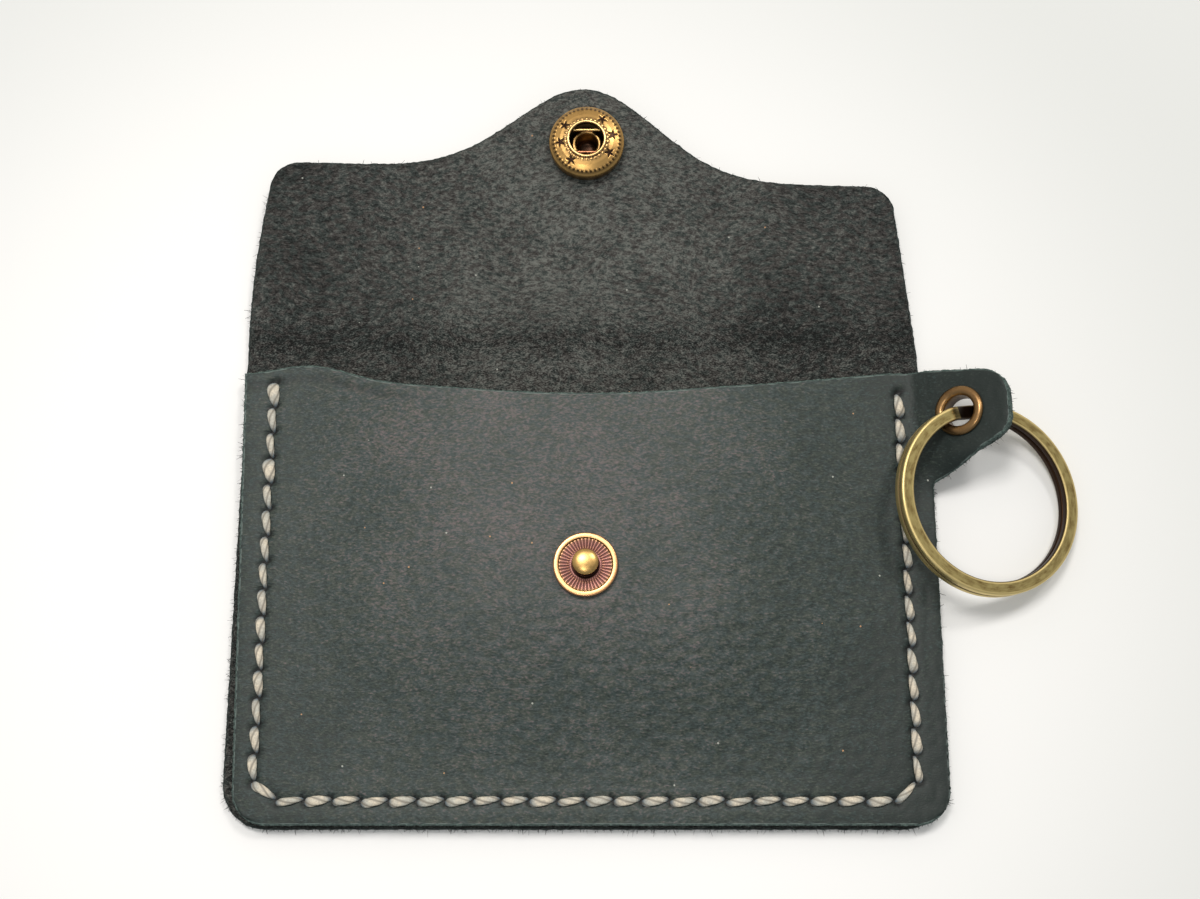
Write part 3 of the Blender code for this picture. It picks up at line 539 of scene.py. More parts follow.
def make_piece(name, points, faces, materials, face_slots=None, values=None, flat_shade=False):
    """A mesh object from points, groups of faces with a like count of corners, and values per point.

    Points that no face uses are left out.
    """
    points = np.asarray(points, float).reshape(-1, 3)
    used, flat_index = np.unique(np.concatenate([group.ravel() for group in faces]), return_inverse=True)
    sizes = np.concatenate([np.full(len(group), group.shape[1]) for group in faces])
    mesh = bpy.data.meshes.new(name)
    mesh.vertices.add(len(used))
    mesh.vertices.foreach_set("co", points[used].ravel())
    mesh.loops.add(len(flat_index))
    mesh.loops.foreach_set("vertex_index", flat_index.astype(np.int32))
    mesh.polygons.add(len(sizes))
    mesh.polygons.foreach_set("loop_start", (np.cumsum(sizes) - sizes).astype(np.int32))
    for material in materials:
        mesh.materials.append(material)
    if face_slots is not None:
        mesh.polygons.foreach_set("material_index", np.asarray(face_slots, np.int32))
    mesh.update(calc_edges=True)
    for key, value in (values or {}).items():
        value = np.asarray(value, np.float32)
        kind = "FLOAT_VECTOR" if value.ndim == 2 else "FLOAT"
        field = "vector" if value.ndim == 2 else "value"
        layer = mesh.attributes.new(key, kind, "POINT")
        layer.data.foreach_set(field, value[used].ravel())
    if not flat_shade:
        mesh.shade_smooth()
    item = bpy.data.objects.new(name, mesh)
    bpy.context.scene.collection.objects.link(item)
    return item


def turned(profile, steps, relief=None):
    """A profile of (radius, height) carried once round the Z axis.

    The profile runs down the outer side, top to bottom. The relief, a function of the angles and the
    profile, moves each point outwards along the profile's normal. A radius of 0 at both ends closes the
    piece with fans, and otherwise the profile closes on itself.
    """
    profile = np.asarray(profile, float)
    open_ends = profile[0, 0] == 0
    if open_ends:
        tips = profile[[0, -1]]
        profile = profile[1:-1]
    angle = round_angles(steps)[:, None]
    closed_run = np.roll(profile, -1, axis=0) - np.roll(profile, 1, axis=0)
    run = np.gradient(profile, axis=0) if open_ends else closed_run
    normal = unit(np.stack([-run[:, 1], run[:, 0]], axis=1))
    push = np.zeros((steps, len(profile))) if relief is None else relief(angle, profile)
    radius = profile[:, 0] + push * normal[:, 0]
    height = profile[:, 1] + push * normal[:, 1]
    points = np.stack([radius * np.cos(angle), radius * np.sin(angle), height], axis=-1).reshape(-1, 3)
    faces = [grid_faces(steps, len(profile), wrap_rows=True, wrap_columns=not open_ends)]
    if open_ends:
        last = len(points)
        points = np.vstack([points, [[0, 0, tips[0, 1]], [0, 0, tips[1, 1]]]])
        first_line = np.arange(steps) * len(profile)
        top = np.stack([np.full(steps, last), first_line, np.roll(first_line, -1)], axis=1)
        last_line = first_line + len(profile) - 1
        low = np.stack([np.full(steps, last + 1), np.roll(last_line, -1), last_line], axis=1)
        faces += [top, low]
    return points, faces


def finer(profile, spacing):
    """A profile with points added evenly until no two are further apart than the spacing."""
    profile = np.asarray(profile, float)
    length = np.hypot(*np.diff(profile, axis=0).T)
    counts = np.maximum(np.ceil(length / spacing).astype(int), 1)
    pieces = [
        profile[index] + (profile[index + 1] - profile[index]) * np.arange(count)[:, None] / count
        for index, count in enumerate(counts)
    ]
    return np.concatenate(pieces + [profile[-1:]])


def oval(radius, height, half_width, rise, start, stop, count, power=1.0):
    """Points of an oval arc in a profile, from one angle in degrees to another.

    The cosine and the sine are raised to the power: below 1 the oval is squarer.
    """
    turn = circle(np.radians(np.linspace(start, stop, count)))
    return np.array([radius, height]) + np.sign(turn) * np.abs(turn) ** power * np.array([half_width, rise])


def place(points, matrix):
    """Points moved by a 4 by 4 matrix."""
    matrix = np.array(matrix)
    return np.asarray(points) @ matrix[:3, :3].T + matrix[:3, 3]


def carried(path, across, sections):
    """Sections carried along a path.

    A section point (a, b) lies at path + a·across + b·(direction × across), for every path point.
    """
    run = unit(np.gradient(path, axis=0))
    across = unit(across - run * (across * run).sum(axis=1)[:, None])
    up = np.cross(run, across)
    return path[:, None] + sections[..., :1] * across[:, None] + sections[..., 1:] * up[:, None]


def tube_faces(rows, columns):
    """Faces of a tube of rows by columns points, with a flat end at both sides."""
    sides = grid_faces(rows, columns, wrap_columns=True)
    first = np.arange(columns)[None, ::-1]
    last = (rows - 1) * columns + np.arange(columns)[None]
    return [sides, np.vstack([first, last])]


# Leather sheets
def edge_arcs(corners):
    """The arcs of an outline's rounded corners, in order."""
    arcs = []
    for index, (x, y, radius) in enumerate(corners):
        if radius:
            after = corners[(index + 1) % len(corners)][:2]
            arcs.append(corner_arc(corners[index - 1][:2], (x, y), after, radius))
    return arcs


def look_up(line, axis, values):
    """Points of a line at values along one axis; the line is put in rising order first."""
    line = line[np.argsort(line[:, axis], kind="stable")]
    other = np.interp(values, line[:, axis], line[:, 1 - axis])
    return np.stack([values, other] if axis == 0 else [other, values], axis=1)


def even_steps(*stops):
    """Places from (start, spacing) stops: each stretch is divided evenly at about its own spacing."""
    places = []
    for (start, spacing), (stop, _) in zip(stops, stops[1:]):
        count = max(1, round((stop - start) / spacing))
        places.append(start + (stop - start) * np.arange(count) / count)
    return np.concatenate(places + [[stops[-1][0]]])


def sheet_grid(bottom_line, top_line, left_line, right_line, columns, top_x, left_y, inner_left, inner_right):
    """Flat places of a sheet's grid between its four edge lines.

    A column is the straight line from the bottom edge to the top edge, divided by the rows' shares. It
    then moves by what the left and the right edge depart from their own columns, which fades to nothing
    at the two inner places.
    """
    first, last = bottom_line[0], bottom_line[-1]
    share = (left_y - left_y[0]) / (left_y[-1] - left_y[0])
    right_y = last[1] + share * (top_line[-1, 1] - last[1])
    bottom = look_up(bottom_line, 0, columns)
    grid = bottom + (look_up(top_line, 0, top_x) - bottom) * share[:, None, None]
    fade_left = np.clip((inner_left - columns) / (inner_left - first[0]), 0, 1)[:, None]
    fade_right = np.clip((columns - inner_right) / (last[0] - inner_right), 0, 1)[:, None]
    from_left = (look_up(left_line, 1, left_y) - grid[:, 0])[:, None] * fade_left
    from_right = (look_up(right_line, 1, right_y) - grid[:, -1])[:, None] * fade_right
    return grid + from_left + from_right


def open_hole(grid, centre, radius, inner, outer):
    """Open a round hole in a grid: the square ring of points inner cells from the centre becomes a circle.

    Points between the inner and the outer ring spread evenly between the circle and the outer ring.
    The hole's block is returned as its first and last row and column.
    """
    away = grid - np.array(centre)
    row, column = np.unravel_index(np.argmin(np.hypot(away[..., 0], away[..., 1])), away.shape[:2])
    rows, columns = np.indices(away.shape[:2])
    ring = np.maximum(np.abs(rows - row), np.abs(columns - column))
    distance = np.maximum(np.hypot(away[..., 0], away[..., 1]), 1e-9)
    edge = distance * outer / np.maximum(ring, 1)
    share = np.clip((ring - inner) / (outer - inner), 0, 1)
    reach = radius + (edge - radius) * share
    moved = np.array(centre) + away / distance[..., None] * reach[..., None]
    inside = ((ring >= inner) & (ring < outer))[..., None]
    return np.where(inside, moved, grid), (row - inner, row + inner, column - inner, column + inner)


def border(columns, first_row, last_row, first_column, last_column):
    """Point numbers round a block of a grid, counter-clockwise from its first corner."""
    row = np.arange(first_row, last_row)
    column = np.arange(first_column, last_column)
    return np.concatenate([
        first_row * columns + column,
        row * columns + last_column,
        last_row * columns + column[::-1] + 1,
        (row[::-1] + 1) * columns + first_column,
    ])


def rim_outward(centre, normal, loop):
    """Direction out of a sheet at each point of an edge loop: the loop's run crossed with the normal."""
    run = np.roll(centre[loop], -1, axis=0) - np.roll(centre[loop], 1, axis=0)
    return unit(np.cross(run, normal[loop]))


def edge_distance(middle):
    """Distance to the nearest edge along the grid's own lines."""
    nearest = None
    for axis in (0, 1):
        step = np.linalg.norm(np.diff(middle, axis=axis), axis=2)
        zero = np.zeros_like(np.take(step, [0], axis=axis))
        along = np.concatenate([zero, np.cumsum(step, axis=axis)], axis=axis)
        whole = np.take(along, [-1], axis=axis)
        both = np.minimum(along, whole - along)
        nearest = both if nearest is None else np.minimum(nearest, both)
    return nearest


def cut_wall(loop, outward, normal, sides, count, total, draw):
    """Rings of points and the faces between them, from a sheet's top face round its cut edge to the low face.

    The rings are an arc off the top face and one down to the low face, with some roughness. The total is
    that of the points before them.
    """
    rings, numbers, depths = [], [loop], []
    for side, sign in zip(sides, (-1, 1)):
        side[loop] -= outward * CUT_ROUND
        for angle in np.radians(CUT_ANGLES[::-sign]):
            rough = draw.normal(0, CUT_ROUGHNESS, (len(loop), 1)) * math.sin(angle)
            ring = side[loop] + outward * (CUT_ROUND * math.sin(angle) + rough)
            rings.append(ring + sign * normal[loop] * CUT_ROUND * (1 - math.cos(angle)))
            depths.append(np.full(len(loop), -sign * (LEATHER / 2 - CUT_ROUND)))
            numbers.append(total + np.arange(len(loop)))
            total += len(loop)
    numbers.append(loop + count)
    faces = [
        np.stack([above, below, np.roll(below, -1), np.roll(above, -1)], axis=1)
        for above, below in zip(numbers, numbers[1:])]
    return rings, faces, depths


def leather_piece(name, flat, low_flat, middle, lift_top, lift_low, holes, materials, marks, seed):
    """A closed sheet of leather round a middle surface, with cut edges that are slightly rounded.

    Each face of the sheet lies half the thickness along the middle surface's normal, plus its lift. The
    low face has flat places of its own.
    """
    rows, columns = middle.shape[:2]
    count = rows * columns
    normal = unit(np.cross(np.gradient(middle, axis=1), np.gradient(middle, axis=0))).reshape(-1, 3)
    centre = middle.reshape(-1, 3)
    top = centre + normal * (LEATHER / 2 + lift_top.reshape(-1, 1))
    low = centre - normal * (LEATHER / 2 - lift_low.reshape(-1, 1))
    faces = grid_faces(rows, columns)
    row_of, column_of = np.divmod(faces[:, 0], columns)
    keep = np.ones(len(faces), bool)
    loops = [border(columns, 0, rows - 1, 0, columns - 1)]
    for first_row, last_row, first_column, last_column in holes:
        in_rows = (row_of >= first_row) & (row_of < last_row)
        keep &= ~(in_rows & (column_of >= first_column) & (column_of < last_column))
        loops.append(border(columns, first_row, last_row, first_column, last_column)[::-1])
    faces = faces[keep]

    draw = np.random.default_rng(seed)
    points = [top, low]
    source = [np.arange(count), np.arange(count)]
    groups = [faces, faces[:, ::-1] + count]
    slots = [np.zeros(len(faces)), np.ones(len(faces))]
    depth = [np.full(count, LEATHER / 2), np.full(count, -LEATHER / 2)]
    for loop in loops:
        total = sum(len(part) for part in points)
        outward = rim_outward(centre, normal, loop)
        rings, wall, depths = cut_wall(loop, outward, normal, (top, low), count, total, draw)
        points += rings
        source += [loop] * len(rings)
        depth += depths
        groups += wall
        slots += [np.full(len(loop), 2)] * len(wall)
    source = np.concatenate(source)
    values = {key: mark.reshape(-1)[source] for key, mark in marks.items()}
    flat_place = flat.reshape(-1, 2)[source]
    flat_place[count:2 * count] = low_flat.reshape(-1, 2)
    values["flat"] = np.column_stack([flat_place, np.concatenate(depth)])
    piece = make_piece(name, np.concatenate(points), groups, materials, np.concatenate(slots), values)
    outline = loops[0]
    return piece, (centre[outline], rim_outward(centre, normal, outline), normal[outline])


# The seam
def side_stitches(side, first):
    """Places of one side's stitching holes, from the top down."""
    low = STITCH_Y + STITCH_CORNER_RISE
    count = math.ceil((first - low) / STITCH_PITCH - STITCH_STRETCH_SHARE)
    return np.stack([np.full(count + 1, side * STITCH_X), np.linspace(first, low, count + 1)], axis=1)


def seam_holes():
    """Places of all the stitching holes, from the top left round the bottom to the top right."""
    reach = STITCH_X - STITCH_CORNER_CUT
    count = round(2 * reach / STITCH_PITCH)
    bottom = np.stack([np.linspace(-reach, reach, count + 1), np.full(count + 1, STITCH_Y)], axis=1)
    left = side_stitches(-1, FOLD_Y - LEFT_FIRST_STITCH)
    right = side_stitches(1, FOLD_Y - RIGHT_FIRST_STITCH)
    return np.concatenate([left, bottom, right[::-1]])


def hole_slants(holes):
    """Unit direction of each slot, turned by the slot's slant from the seam's direction there."""
    run = np.gradient(holes, axis=0)
    return circle(np.arctan2(run[:, 1], run[:, 0]) + SLOT_SLANT)


def slot_nearness(flat, holes, slants):
    """How near each place is to a slot: 1 on the edge of the nearest slot's oval, 0 in its middle."""
    away = flat.reshape(-1, 1, 2) - holes
    along = (away * slants).sum(axis=2) / SLOT_REACH
    across = (away[..., 0] * slants[:, 1] - away[..., 1] * slants[:, 0]) / (SLOT_WIDTH / 2)
    return np.sqrt(along**2 + across**2).min(axis=1).reshape(flat.shape[:-1])


def slot_marks(nearness):
    """How far the leather is pressed in at a slot and how dark its painted shade is, both from 0 to 1."""
    return 1 - smooth(nearness * SLOT_PRESS_SHARE), smooth((SLOT_SHADE_REACH - nearness) / SLOT_SHADE_EASE)


def seam_distance(flat, holes):
    """Distance of each place to the broken line through the holes."""
    start, stop = holes[:-1], holes[1:]
    run = stop - start
    away = flat.reshape(-1, 1, 2) - start
    share = np.clip((away * run).sum(axis=2) / (run**2).sum(axis=1), 0, 1)
    gap = away - share[..., None] * run
    return np.hypot(gap[..., 0], gap[..., 1]).min(axis=1).reshape(flat.shape[:-1])


# The front leather's own shape
def mouth_edge(x):
    """Height of the pocket's mouth edge at x: dipped in the middle, with a low hump near the left corner."""
    reach = np.minimum(np.abs(x) / MOUTH_HALF_WIDTH, 1.0)
    hump = MOUTH_HUMP * hill(x - MOUTH_HUMP_X, MOUTH_HUMP_SPREAD)
    hump -= MOUTH_HUMP * hill(-HALF_WIDTH - MOUTH_HUMP_X, MOUTH_HUMP_SPREAD) * smooth(-x / HALF_WIDTH)
    return FRONT_TOP_Y - MOUTH_DEPTH * np.cos(math.pi / 2 * reach) ** MOUTH_SHARPNESS + hump


def crown_share(x, y):
    """How far the front stands off its seam, as a share: 1 over the cards, 0 along the stitches."""
    return smooth((CROWN_EDGE_X - np.abs(x)) / SHOULDER_RUN) * smooth((y - CROWN_EDGE_Y) / TOE_RUN)


def bend_tab(x, y):
    """Middle surface right of the seam bent upwards: an arc of the bend radius, then straight."""
    angle = TAB_ANGLE * smooth((y - TAB_TWIST_Y) / TAB_TWIST_RUN)
    reach = np.maximum(x - TAB_BEND_X, 0.0)
    turn = np.minimum(reach / TAB_BEND_RADIUS, angle)
    straight = reach - turn * TAB_BEND_RADIUS
    new_x = np.minimum(x, TAB_BEND_X) + TAB_BEND_RADIUS * np.sin(turn) + straight * np.cos(turn)
    new_z = TAB_BEND_RADIUS * (1 - np.cos(turn)) + straight * np.sin(turn)
    return new_x, new_z


def front_grid():
    """Flat grid of the front leather: close along the seam and the tab, wider elsewhere."""
    end_x = TAB_HOLE_X + TAB_END_MARGIN
    end_top = FRONT_TOP_Y - TAB_TOP_FALL
    end_low = end_top - TAB_END_LENGTH
    bottom_y = BOTTOM_Y + FRONT_BOTTOM_INSET
    top_left = (-HALF_WIDTH, FRONT_TOP_Y)
    corners = [
        (*top_left, 0),
        (-HALF_WIDTH + FRONT_LEFT_SLANT, bottom_y, FRONT_CORNER_RADIUS),
        (HALF_WIDTH, bottom_y, FRONT_CORNER_RADIUS),
        (HALF_WIDTH, TAB_ROOT_Y, TAB_ROOT_RADIUS),
        (end_x, end_low, TAB_END_RADIUS),
        (end_x, end_top, TAB_TOP_RADIUS),
        (HALF_WIDTH, FRONT_TOP_Y, 0),
    ]
    low_left, low_right, root, tab_low, tab_top = edge_arcs(corners)
    half = len(low_left) // 2
    mouth_x = np.linspace(-HALF_WIDTH, HALF_WIDTH, MOUTH_POINTS)
    mouth = np.stack([mouth_x, mouth_edge(mouth_x)], axis=1)
    bottom_line = np.concatenate([low_left[half:], low_right[:half + 1]])
    left_line = np.concatenate([[top_left], low_left[:half + 1]])
    right_line = np.concatenate([low_right[half:], root, tab_low, tab_top[:half + 1]])
    top_line = np.concatenate([mouth, tab_top[half:][::-1]])

    first, last = bottom_line[0], bottom_line[-1]
    inner_left = -STITCH_X + LEFT_FADE
    inner_right = STITCH_X + RIGHT_FADE
    columns = even_steps(
        (first[0], SEAM_CELL), (-STITCH_X + SLOT_LENGTH, FRONT_CELL), (STITCH_X - SLOT_LENGTH, SEAM_CELL),
        (inner_right, TAB_CELL), (last[0], TAB_CELL))
    left_y = even_steps(
        (first[1], SEAM_CELL), (STITCH_Y + SLOT_LENGTH, FRONT_CELL), (TAB_ROOT_Y, SEAM_CELL),
        (TAB_HOLE_Y, FRONT_CELL), (FRONT_TOP_Y, FRONT_CELL))
    top_x = np.interp(
        columns,
        [first[0], inner_left, inner_right, last[0]],
        [-HALF_WIDTH, inner_left, inner_right, right_line[-1, 0]])
    return sheet_grid(
        bottom_line, top_line, left_line, right_line, columns, top_x, left_y, inner_left, inner_right)


def build_front_leather(holes, slants, materials):
    """The front leather with its tab, pressed along the stitches, punched for the stud and the eyelet."""
    flat = front_grid()
    flat, snap_block = open_hole(flat, (0, SNAP_Y), BARREL_RADIUS + SEAT_GAP, *SNAP_HOLE_CELLS)
    eyelet_room = EYELET_BORE + EYELET_WALL + SEAT_GAP
    flat, tab_block = open_hole(flat, (TAB_HOLE_X, TAB_HOLE_Y), eyelet_room, *TAB_HOLE_CELLS)
    x, y = flat[..., 0], flat[..., 1]
    new_x, rise = bend_tab(x, y)
    crown = crown_share(x, y)
    middle = np.stack([new_x, y, SEAM_Z + LEATHER / 2 + rise + CROWN * crown], axis=-1)

    pressed, slot_shade = slot_marks(slot_nearness(flat, holes, slants))
    seam = seam_distance(flat, holes)
    edge = edge_distance(middle)
    from_stud = np.hypot(x, y - SNAP_Y)
    off_stud = smooth(from_stud / STUD_RADIUS - 1)
    off_edge = smooth(edge / EDGE_FALL)
    wave = soft_noise(flat, WAVE_LENGTH, 3) * FRONT_WAVE * crown * off_stud
    ridge = RIDGE_HEIGHT * hill(from_stud - STUD_RADIUS * RIDGE_SHARE, RIDGE_WIDTH)
    sunk = GROOVE_PRESS * hill(seam, GROOVE_SPREAD) + SLOT_DEPTH * pressed
    sunk += EDGE_PRESS * hill(edge, EDGE_FALL)
    neck = hill(x - TAB_BEND_X, TAB_BEND_RADIUS) * smooth((y - TAB_TWIST_Y) / TAB_TWIST_RUN)
    creases = neck * CREASE_DEPTH * np.sin((x + CREASE_SLANT * y) / CREASE_PITCH * 2 * math.pi)
    region = PEBBLE_LOW + (1 - PEBBLE_LOW) * hill(np.hypot(x - PEBBLE_X, y - PEBBLE_Y), PEBBLE_SPREAD)
    # Hollows between the pebbles: sunk, and darkened in the grain by painted shade
    hollow = region * off_edge * off_stud * smooth(seam / GROOVE_SPREAD - 1)
    hollow *= 1 - pebbles(flat, PEBBLE_SIZE, 4)
    below_mouth = mouth_edge(x) - y - MOUTH_CREASE_DROP
    fold_line = hill(below_mouth, MOUTH_CREASE_WIDTH) * smooth(-x / MOUTH_CREASE_START - 1)
    lift_top = wave + ridge + creases * off_edge - sunk
    lift_top -= PEBBLE_DEPTH * hollow + MOUTH_CREASE_DEPTH * fold_line
    # Painted shade in the stitching slots and along the crease under the mouth
    shade = np.clip(slot_shade + MOUTH_CREASE_SHADE * fold_line, 0, 1)
    marks = {"edge": edge, "hollow": hollow, "crease": neck * NECK_TONE, "shade": shade}
    piece, outline = leather_piece(
        "front_leather", flat, flat, middle, lift_top, wave, [snap_block, tab_block], materials, marks, 11)
    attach(piece, "wallet")
    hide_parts("front_panel")
    return outline


# The back leather, in one with the flap
def flap_edge(x):
    """The flap's far edge at x from the fold: two shoulders of unlike height and a bell between them."""
    mean = (FLAP_LEFT_SHOULDER + FLAP_RIGHT_SHOULDER) / 2
    half = (FLAP_LEFT_SHOULDER - FLAP_RIGHT_SHOULDER) / 2
    shoulder = mean - half * np.tanh(x / FLAP_STEP_SPREAD)
    return shoulder + (FLAP_TIP - mean) * hill(x, FLAP_TIP_SPREAD)


def back_grid():
    """Flat grid of the back leather and its flap, closer along the seam."""
    left = -HALF_WIDTH + FLAP_LEFT_TAPER
    right = HALF_WIDTH - FLAP_RIGHT_TAPER
    clear = 2 * FLAP_CORNER_RADIUS
    left_corner = np.array([left, FOLD_Y + flap_edge(left)])
    right_corner = np.array([right, FOLD_Y + flap_edge(right)])
    share = np.linspace(0, FLAP_SIDE_SHARE, FLAP_SIDE_POINTS)
    side_x = -HALF_WIDTH + FLAP_LEFT_TAPER * share - 4 * FLAP_LEFT_BOW * share * (1 - share)
    side = np.stack([side_x, FOLD_Y + (left_corner[1] - FOLD_Y) * share], axis=1)
    top_x = np.linspace(left + clear, right - clear, FLAP_TOP_POINTS)
    top = np.stack([top_x, FOLD_Y + flap_edge(top_x)], axis=1)
    fold_right = np.array([HALF_WIDTH - FLAP_RIGHT_INSET, FOLD_Y])
    low_left, low_right = edge_arcs([
        (-HALF_WIDTH, FOLD_Y, 0),
        (-HALF_WIDTH, BOTTOM_Y, BACK_CORNER_RADIUS),
        (HALF_WIDTH, BOTTOM_Y, BACK_CORNER_RADIUS),
        (*fold_right, 0),
    ])
    arc_left = corner_arc(side[-1], left_corner, top[0], FLAP_CORNER_RADIUS)
    arc_right = corner_arc(top[-1], right_corner, fold_right, FLAP_CORNER_RADIUS)
    half = len(low_left) // 2
    bottom_line = np.concatenate([low_left[half:], low_right[:half + 1]])
    left_line = np.concatenate([low_left[:half + 1], side, arc_left[:half + 1]])
    right_line = np.concatenate([low_right[half:], [fold_right], arc_right[half:]])
    top_line = np.concatenate([arc_left[half:], top, arc_right[:half + 1]])

    first, last = bottom_line[0], bottom_line[-1]
    columns = even_steps(
        (first[0], BACK_SEAM_CELL), (-STITCH_X + SLOT_LENGTH, BACK_CELL),
        (STITCH_X - SLOT_LENGTH, BACK_SEAM_CELL), (last[0], BACK_CELL))
    left_y = even_steps(
        (first[1], BACK_SEAM_CELL), (STITCH_Y + SLOT_LENGTH, BACK_CELL), (arc_left[half, 1], BACK_CELL))
    reach = (columns - first[0]) / (last[0] - first[0])
    top_x = arc_left[half, 0] + reach * (arc_right[half, 0] - arc_left[half, 0])
    inner = STITCH_X - LEFT_FADE
    return sheet_grid(bottom_line, top_line, left_line, right_line, columns, top_x, left_y, -inner, inner)


def build_back_leather(holes, slants, materials):
    """The back leather: flat under the pocket, turned slightly up from the fold to the flap's tip.

    Closing the flap stretches the fold's outer face, so that face's flat places run on there by the
    hinge's height times the angle turned, and its grain keeps its size.
    """
    flat = back_grid()
    flat, block = open_hole(flat, (0, FOLD_Y + SNAP_REACH), CAP_BARREL + SEAT_GAP, *SNAP_HOLE_CELLS)
    x, y = flat[..., 0], flat[..., 1]
    run = y - FOLD_Y
    turned_share = smooth((run + FOLD_EASE) / (2 * FOLD_EASE))
    turn = FLAP_TILT * turned_share
    depth = -(FOLD_RISE + LEATHER / 2)
    new_y = FOLD_Y + run * np.cos(turn) - depth * np.sin(turn)
    new_z = HINGE[2] + run * np.sin(turn) + depth * np.cos(turn)
    middle = np.stack([x, new_y, new_z], axis=-1)
    low_flat = np.stack([x, y + HINGE[2] * math.pi * turned_share], axis=-1)

    # Painted shade in the stitching slots
    pressed, shade = slot_marks(slot_nearness(flat, holes, slants))
    seam = seam_distance(flat, holes)
    edge = edge_distance(middle)
    from_snap = np.hypot(x, run - SNAP_REACH)
    off_cap = smooth(from_snap / CAP_RADIUS - 1)
    wave = soft_noise(flat, WAVE_LENGTH, 8) * FLAP_WAVE * smooth((run - FOLD_EASE) / WAVE_LENGTH) * off_cap
    wander = CREASE_WANDER * soft_noise(flat, WAVE_LENGTH, 15)
    fold = CREASE_LEAST + (1 - CREASE_LEAST) * soft_noise(flat, FOLD_EASE, 16)
    fold = (fold * hill(run - CREASE_OFFSET - wander, CREASE_WIDTH)).clip(0)
    tufts = soft_noise(flat, TUFT_SIZE, 17) * smooth(edge / EDGE_FALL) * off_cap
    rough_band = smooth((ROUGH_REACH - run) / ROUGH_REACH)
    lift_top = wave - FOLD_DENT * fold + TUFT_HEIGHT * tufts * (1 + rough_band)
    lift_low = wave + GROOVE_SINK * hill(seam, GROOVE_SPREAD) + SLOT_DEPTH * pressed
    lift_low += EDGE_PRESS * hill(edge, EDGE_FALL)
    # A band beside the fold, darkened in the nap by painted shade
    fold_shade = hill(run - FOLD_SHADE_OFFSET - wander, FOLD_SHADE_WIDTH)
    marks = {"edge": edge, "fold": rough_band + fold, "fold_shade": fold_shade, "shade": shade}
    piece, outline = leather_piece(
        "back_leather", flat, low_flat, middle, lift_top, lift_low, [block], materials, marks, 12)
    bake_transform(piece)
    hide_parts("back_panel", "flap")
    return outline


# Thread
def strand_share(angle):
    """How far an angle round the thread is from a strand's crest, 0, to the valley beside it, 1."""
    half = math.pi / STRANDS
    return np.abs((angle + half) % (2 * half) - half) / half


def stitch_paths(holes, slants, starts_in_front, seed):
    """Path, sideways direction and section of one end of the thread, through each hole in turn.

    Along a stitch the share t runs from 0 to 1. The place moves by (1 - cos πt·|cos πt|^(p-1)) / 2 from
    hole to hole, and rises by sin(πt)^q from the middle of the seam to the leather's face. The section
    is three strands, 1 - depth·(share of the way from crest to valley)³, and turns along the stitch. It is
    wider than it is high, widest a little before the middle, and thin at the holes.
    """
    draw = np.random.default_rng(seed)
    share = np.linspace(0, 1, STITCH_ROWS, endpoint=False)
    swing = np.cos(math.pi * share)
    forward = (1 - np.sign(swing) * np.abs(swing) ** FORWARD_POWER) / 2
    rise = np.sin(math.pi * share) ** RISE_POWER
    body = np.sin(math.pi * share**STITCH_LEAN) ** BODY_POWER
    angle = round_angles(STITCH_SIDES)
    middle_z = SEAM_Z - SEAT_GAP / 2
    paths, sides, sections, along, grooves = [], [], [], [], []
    for index in range(len(holes) - 1):
        in_front = starts_in_front == (index % 2 == 0)
        sign = 1 if in_front else -1
        start = holes[index] - slants[index] * STITCH_SPREAD / 2 * sign
        stop = holes[index + 1] + slants[index + 1] * STITCH_SPREAD / 2 * sign
        run = stop - start
        level = SEAM_TOP + THREAD_RISE if in_front else THREAD_BACK_LEVEL
        fat = DOUBLED_WIDTH if in_front and index in DOUBLED_STITCHES else 1.0
        flat = start + run * forward[:, None]
        side = np.array([-run[1], run[0]]) / np.hypot(*run)
        flat += side * draw.normal(0, STITCH_WANDER) * body[:, None]
        height = middle_z + (level - middle_z) * rise
        paths.append(np.column_stack([flat, height]))
        sides.append(np.tile([*side, 0.0], (STITCH_ROWS, 1)))
        widest = THREAD_HALF_WIDTH * fat * draw.uniform(*STITCH_WIDTHS)
        half_width = THREAD_THIN + (widest - THREAD_THIN) * body
        half_height = THREAD_THIN + (THREAD_HALF_HEIGHT - THREAD_THIN) * body
        twist = draw.uniform(0, 2 * math.pi) + STITCH_TWIST * 2 * math.pi * share
        valley = strand_share(angle - twist[:, None])
        lobes = 1 - STRAND_DEPTH * valley**3
        half_size = np.stack([half_width, half_height], axis=-1)[:, None]
        sections.append(half_size * lobes[..., None] * circle(angle))
        along.append(np.repeat(np.sin(math.pi * share), STITCH_SIDES))
        grooves.append(smooth((valley - GROOVE_FROM) / (1 - GROOVE_FROM)).ravel())
    return [np.concatenate(parts) for parts in (paths, sides, sections, along, grooves)]


def build_threads(holes, slants, material):
    """The two ends of the waxed thread, each through every hole, in front and at the back by turns."""
    for name, in_front, seed in (("thread_left_end", True, 21), ("thread_right_end", False, 22)):
        path, side, section, along, grooves = stitch_paths(holes, slants, in_front, seed)
        points = carried(path, side, section)
        faces = tube_faces(len(path), STITCH_SIDES)
        values = {"body": along, "groove": grooves}
        piece = make_piece(name + "_twisted", points, faces, [material], values=values)
        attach(piece, "wallet")
        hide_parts(name)


# Snap
def star_depth(angle, profile, centre_angle):
    """How deep a point lies in a five-pointed star stamped at an angle: 1 inside, 0 outside."""
    radius = profile[:, 0]
    x = radius * np.cos(angle) - STAR_CIRCLE * math.cos(centre_angle)
    y = radius * np.sin(angle) - STAR_CIRCLE * math.sin(centre_angle)
    around = (np.arctan2(y, x) - centre_angle) / (2 * math.pi) * STAR_POINTS
    point = np.abs(around - np.floor(around) - 0.5) * 2
    reach = STAR_INNER + (STAR_OUTER - STAR_INNER) * point**STAR_POWER
    return smooth((reach - np.hypot(x, y)) / STAR_EDGE + 0.5)


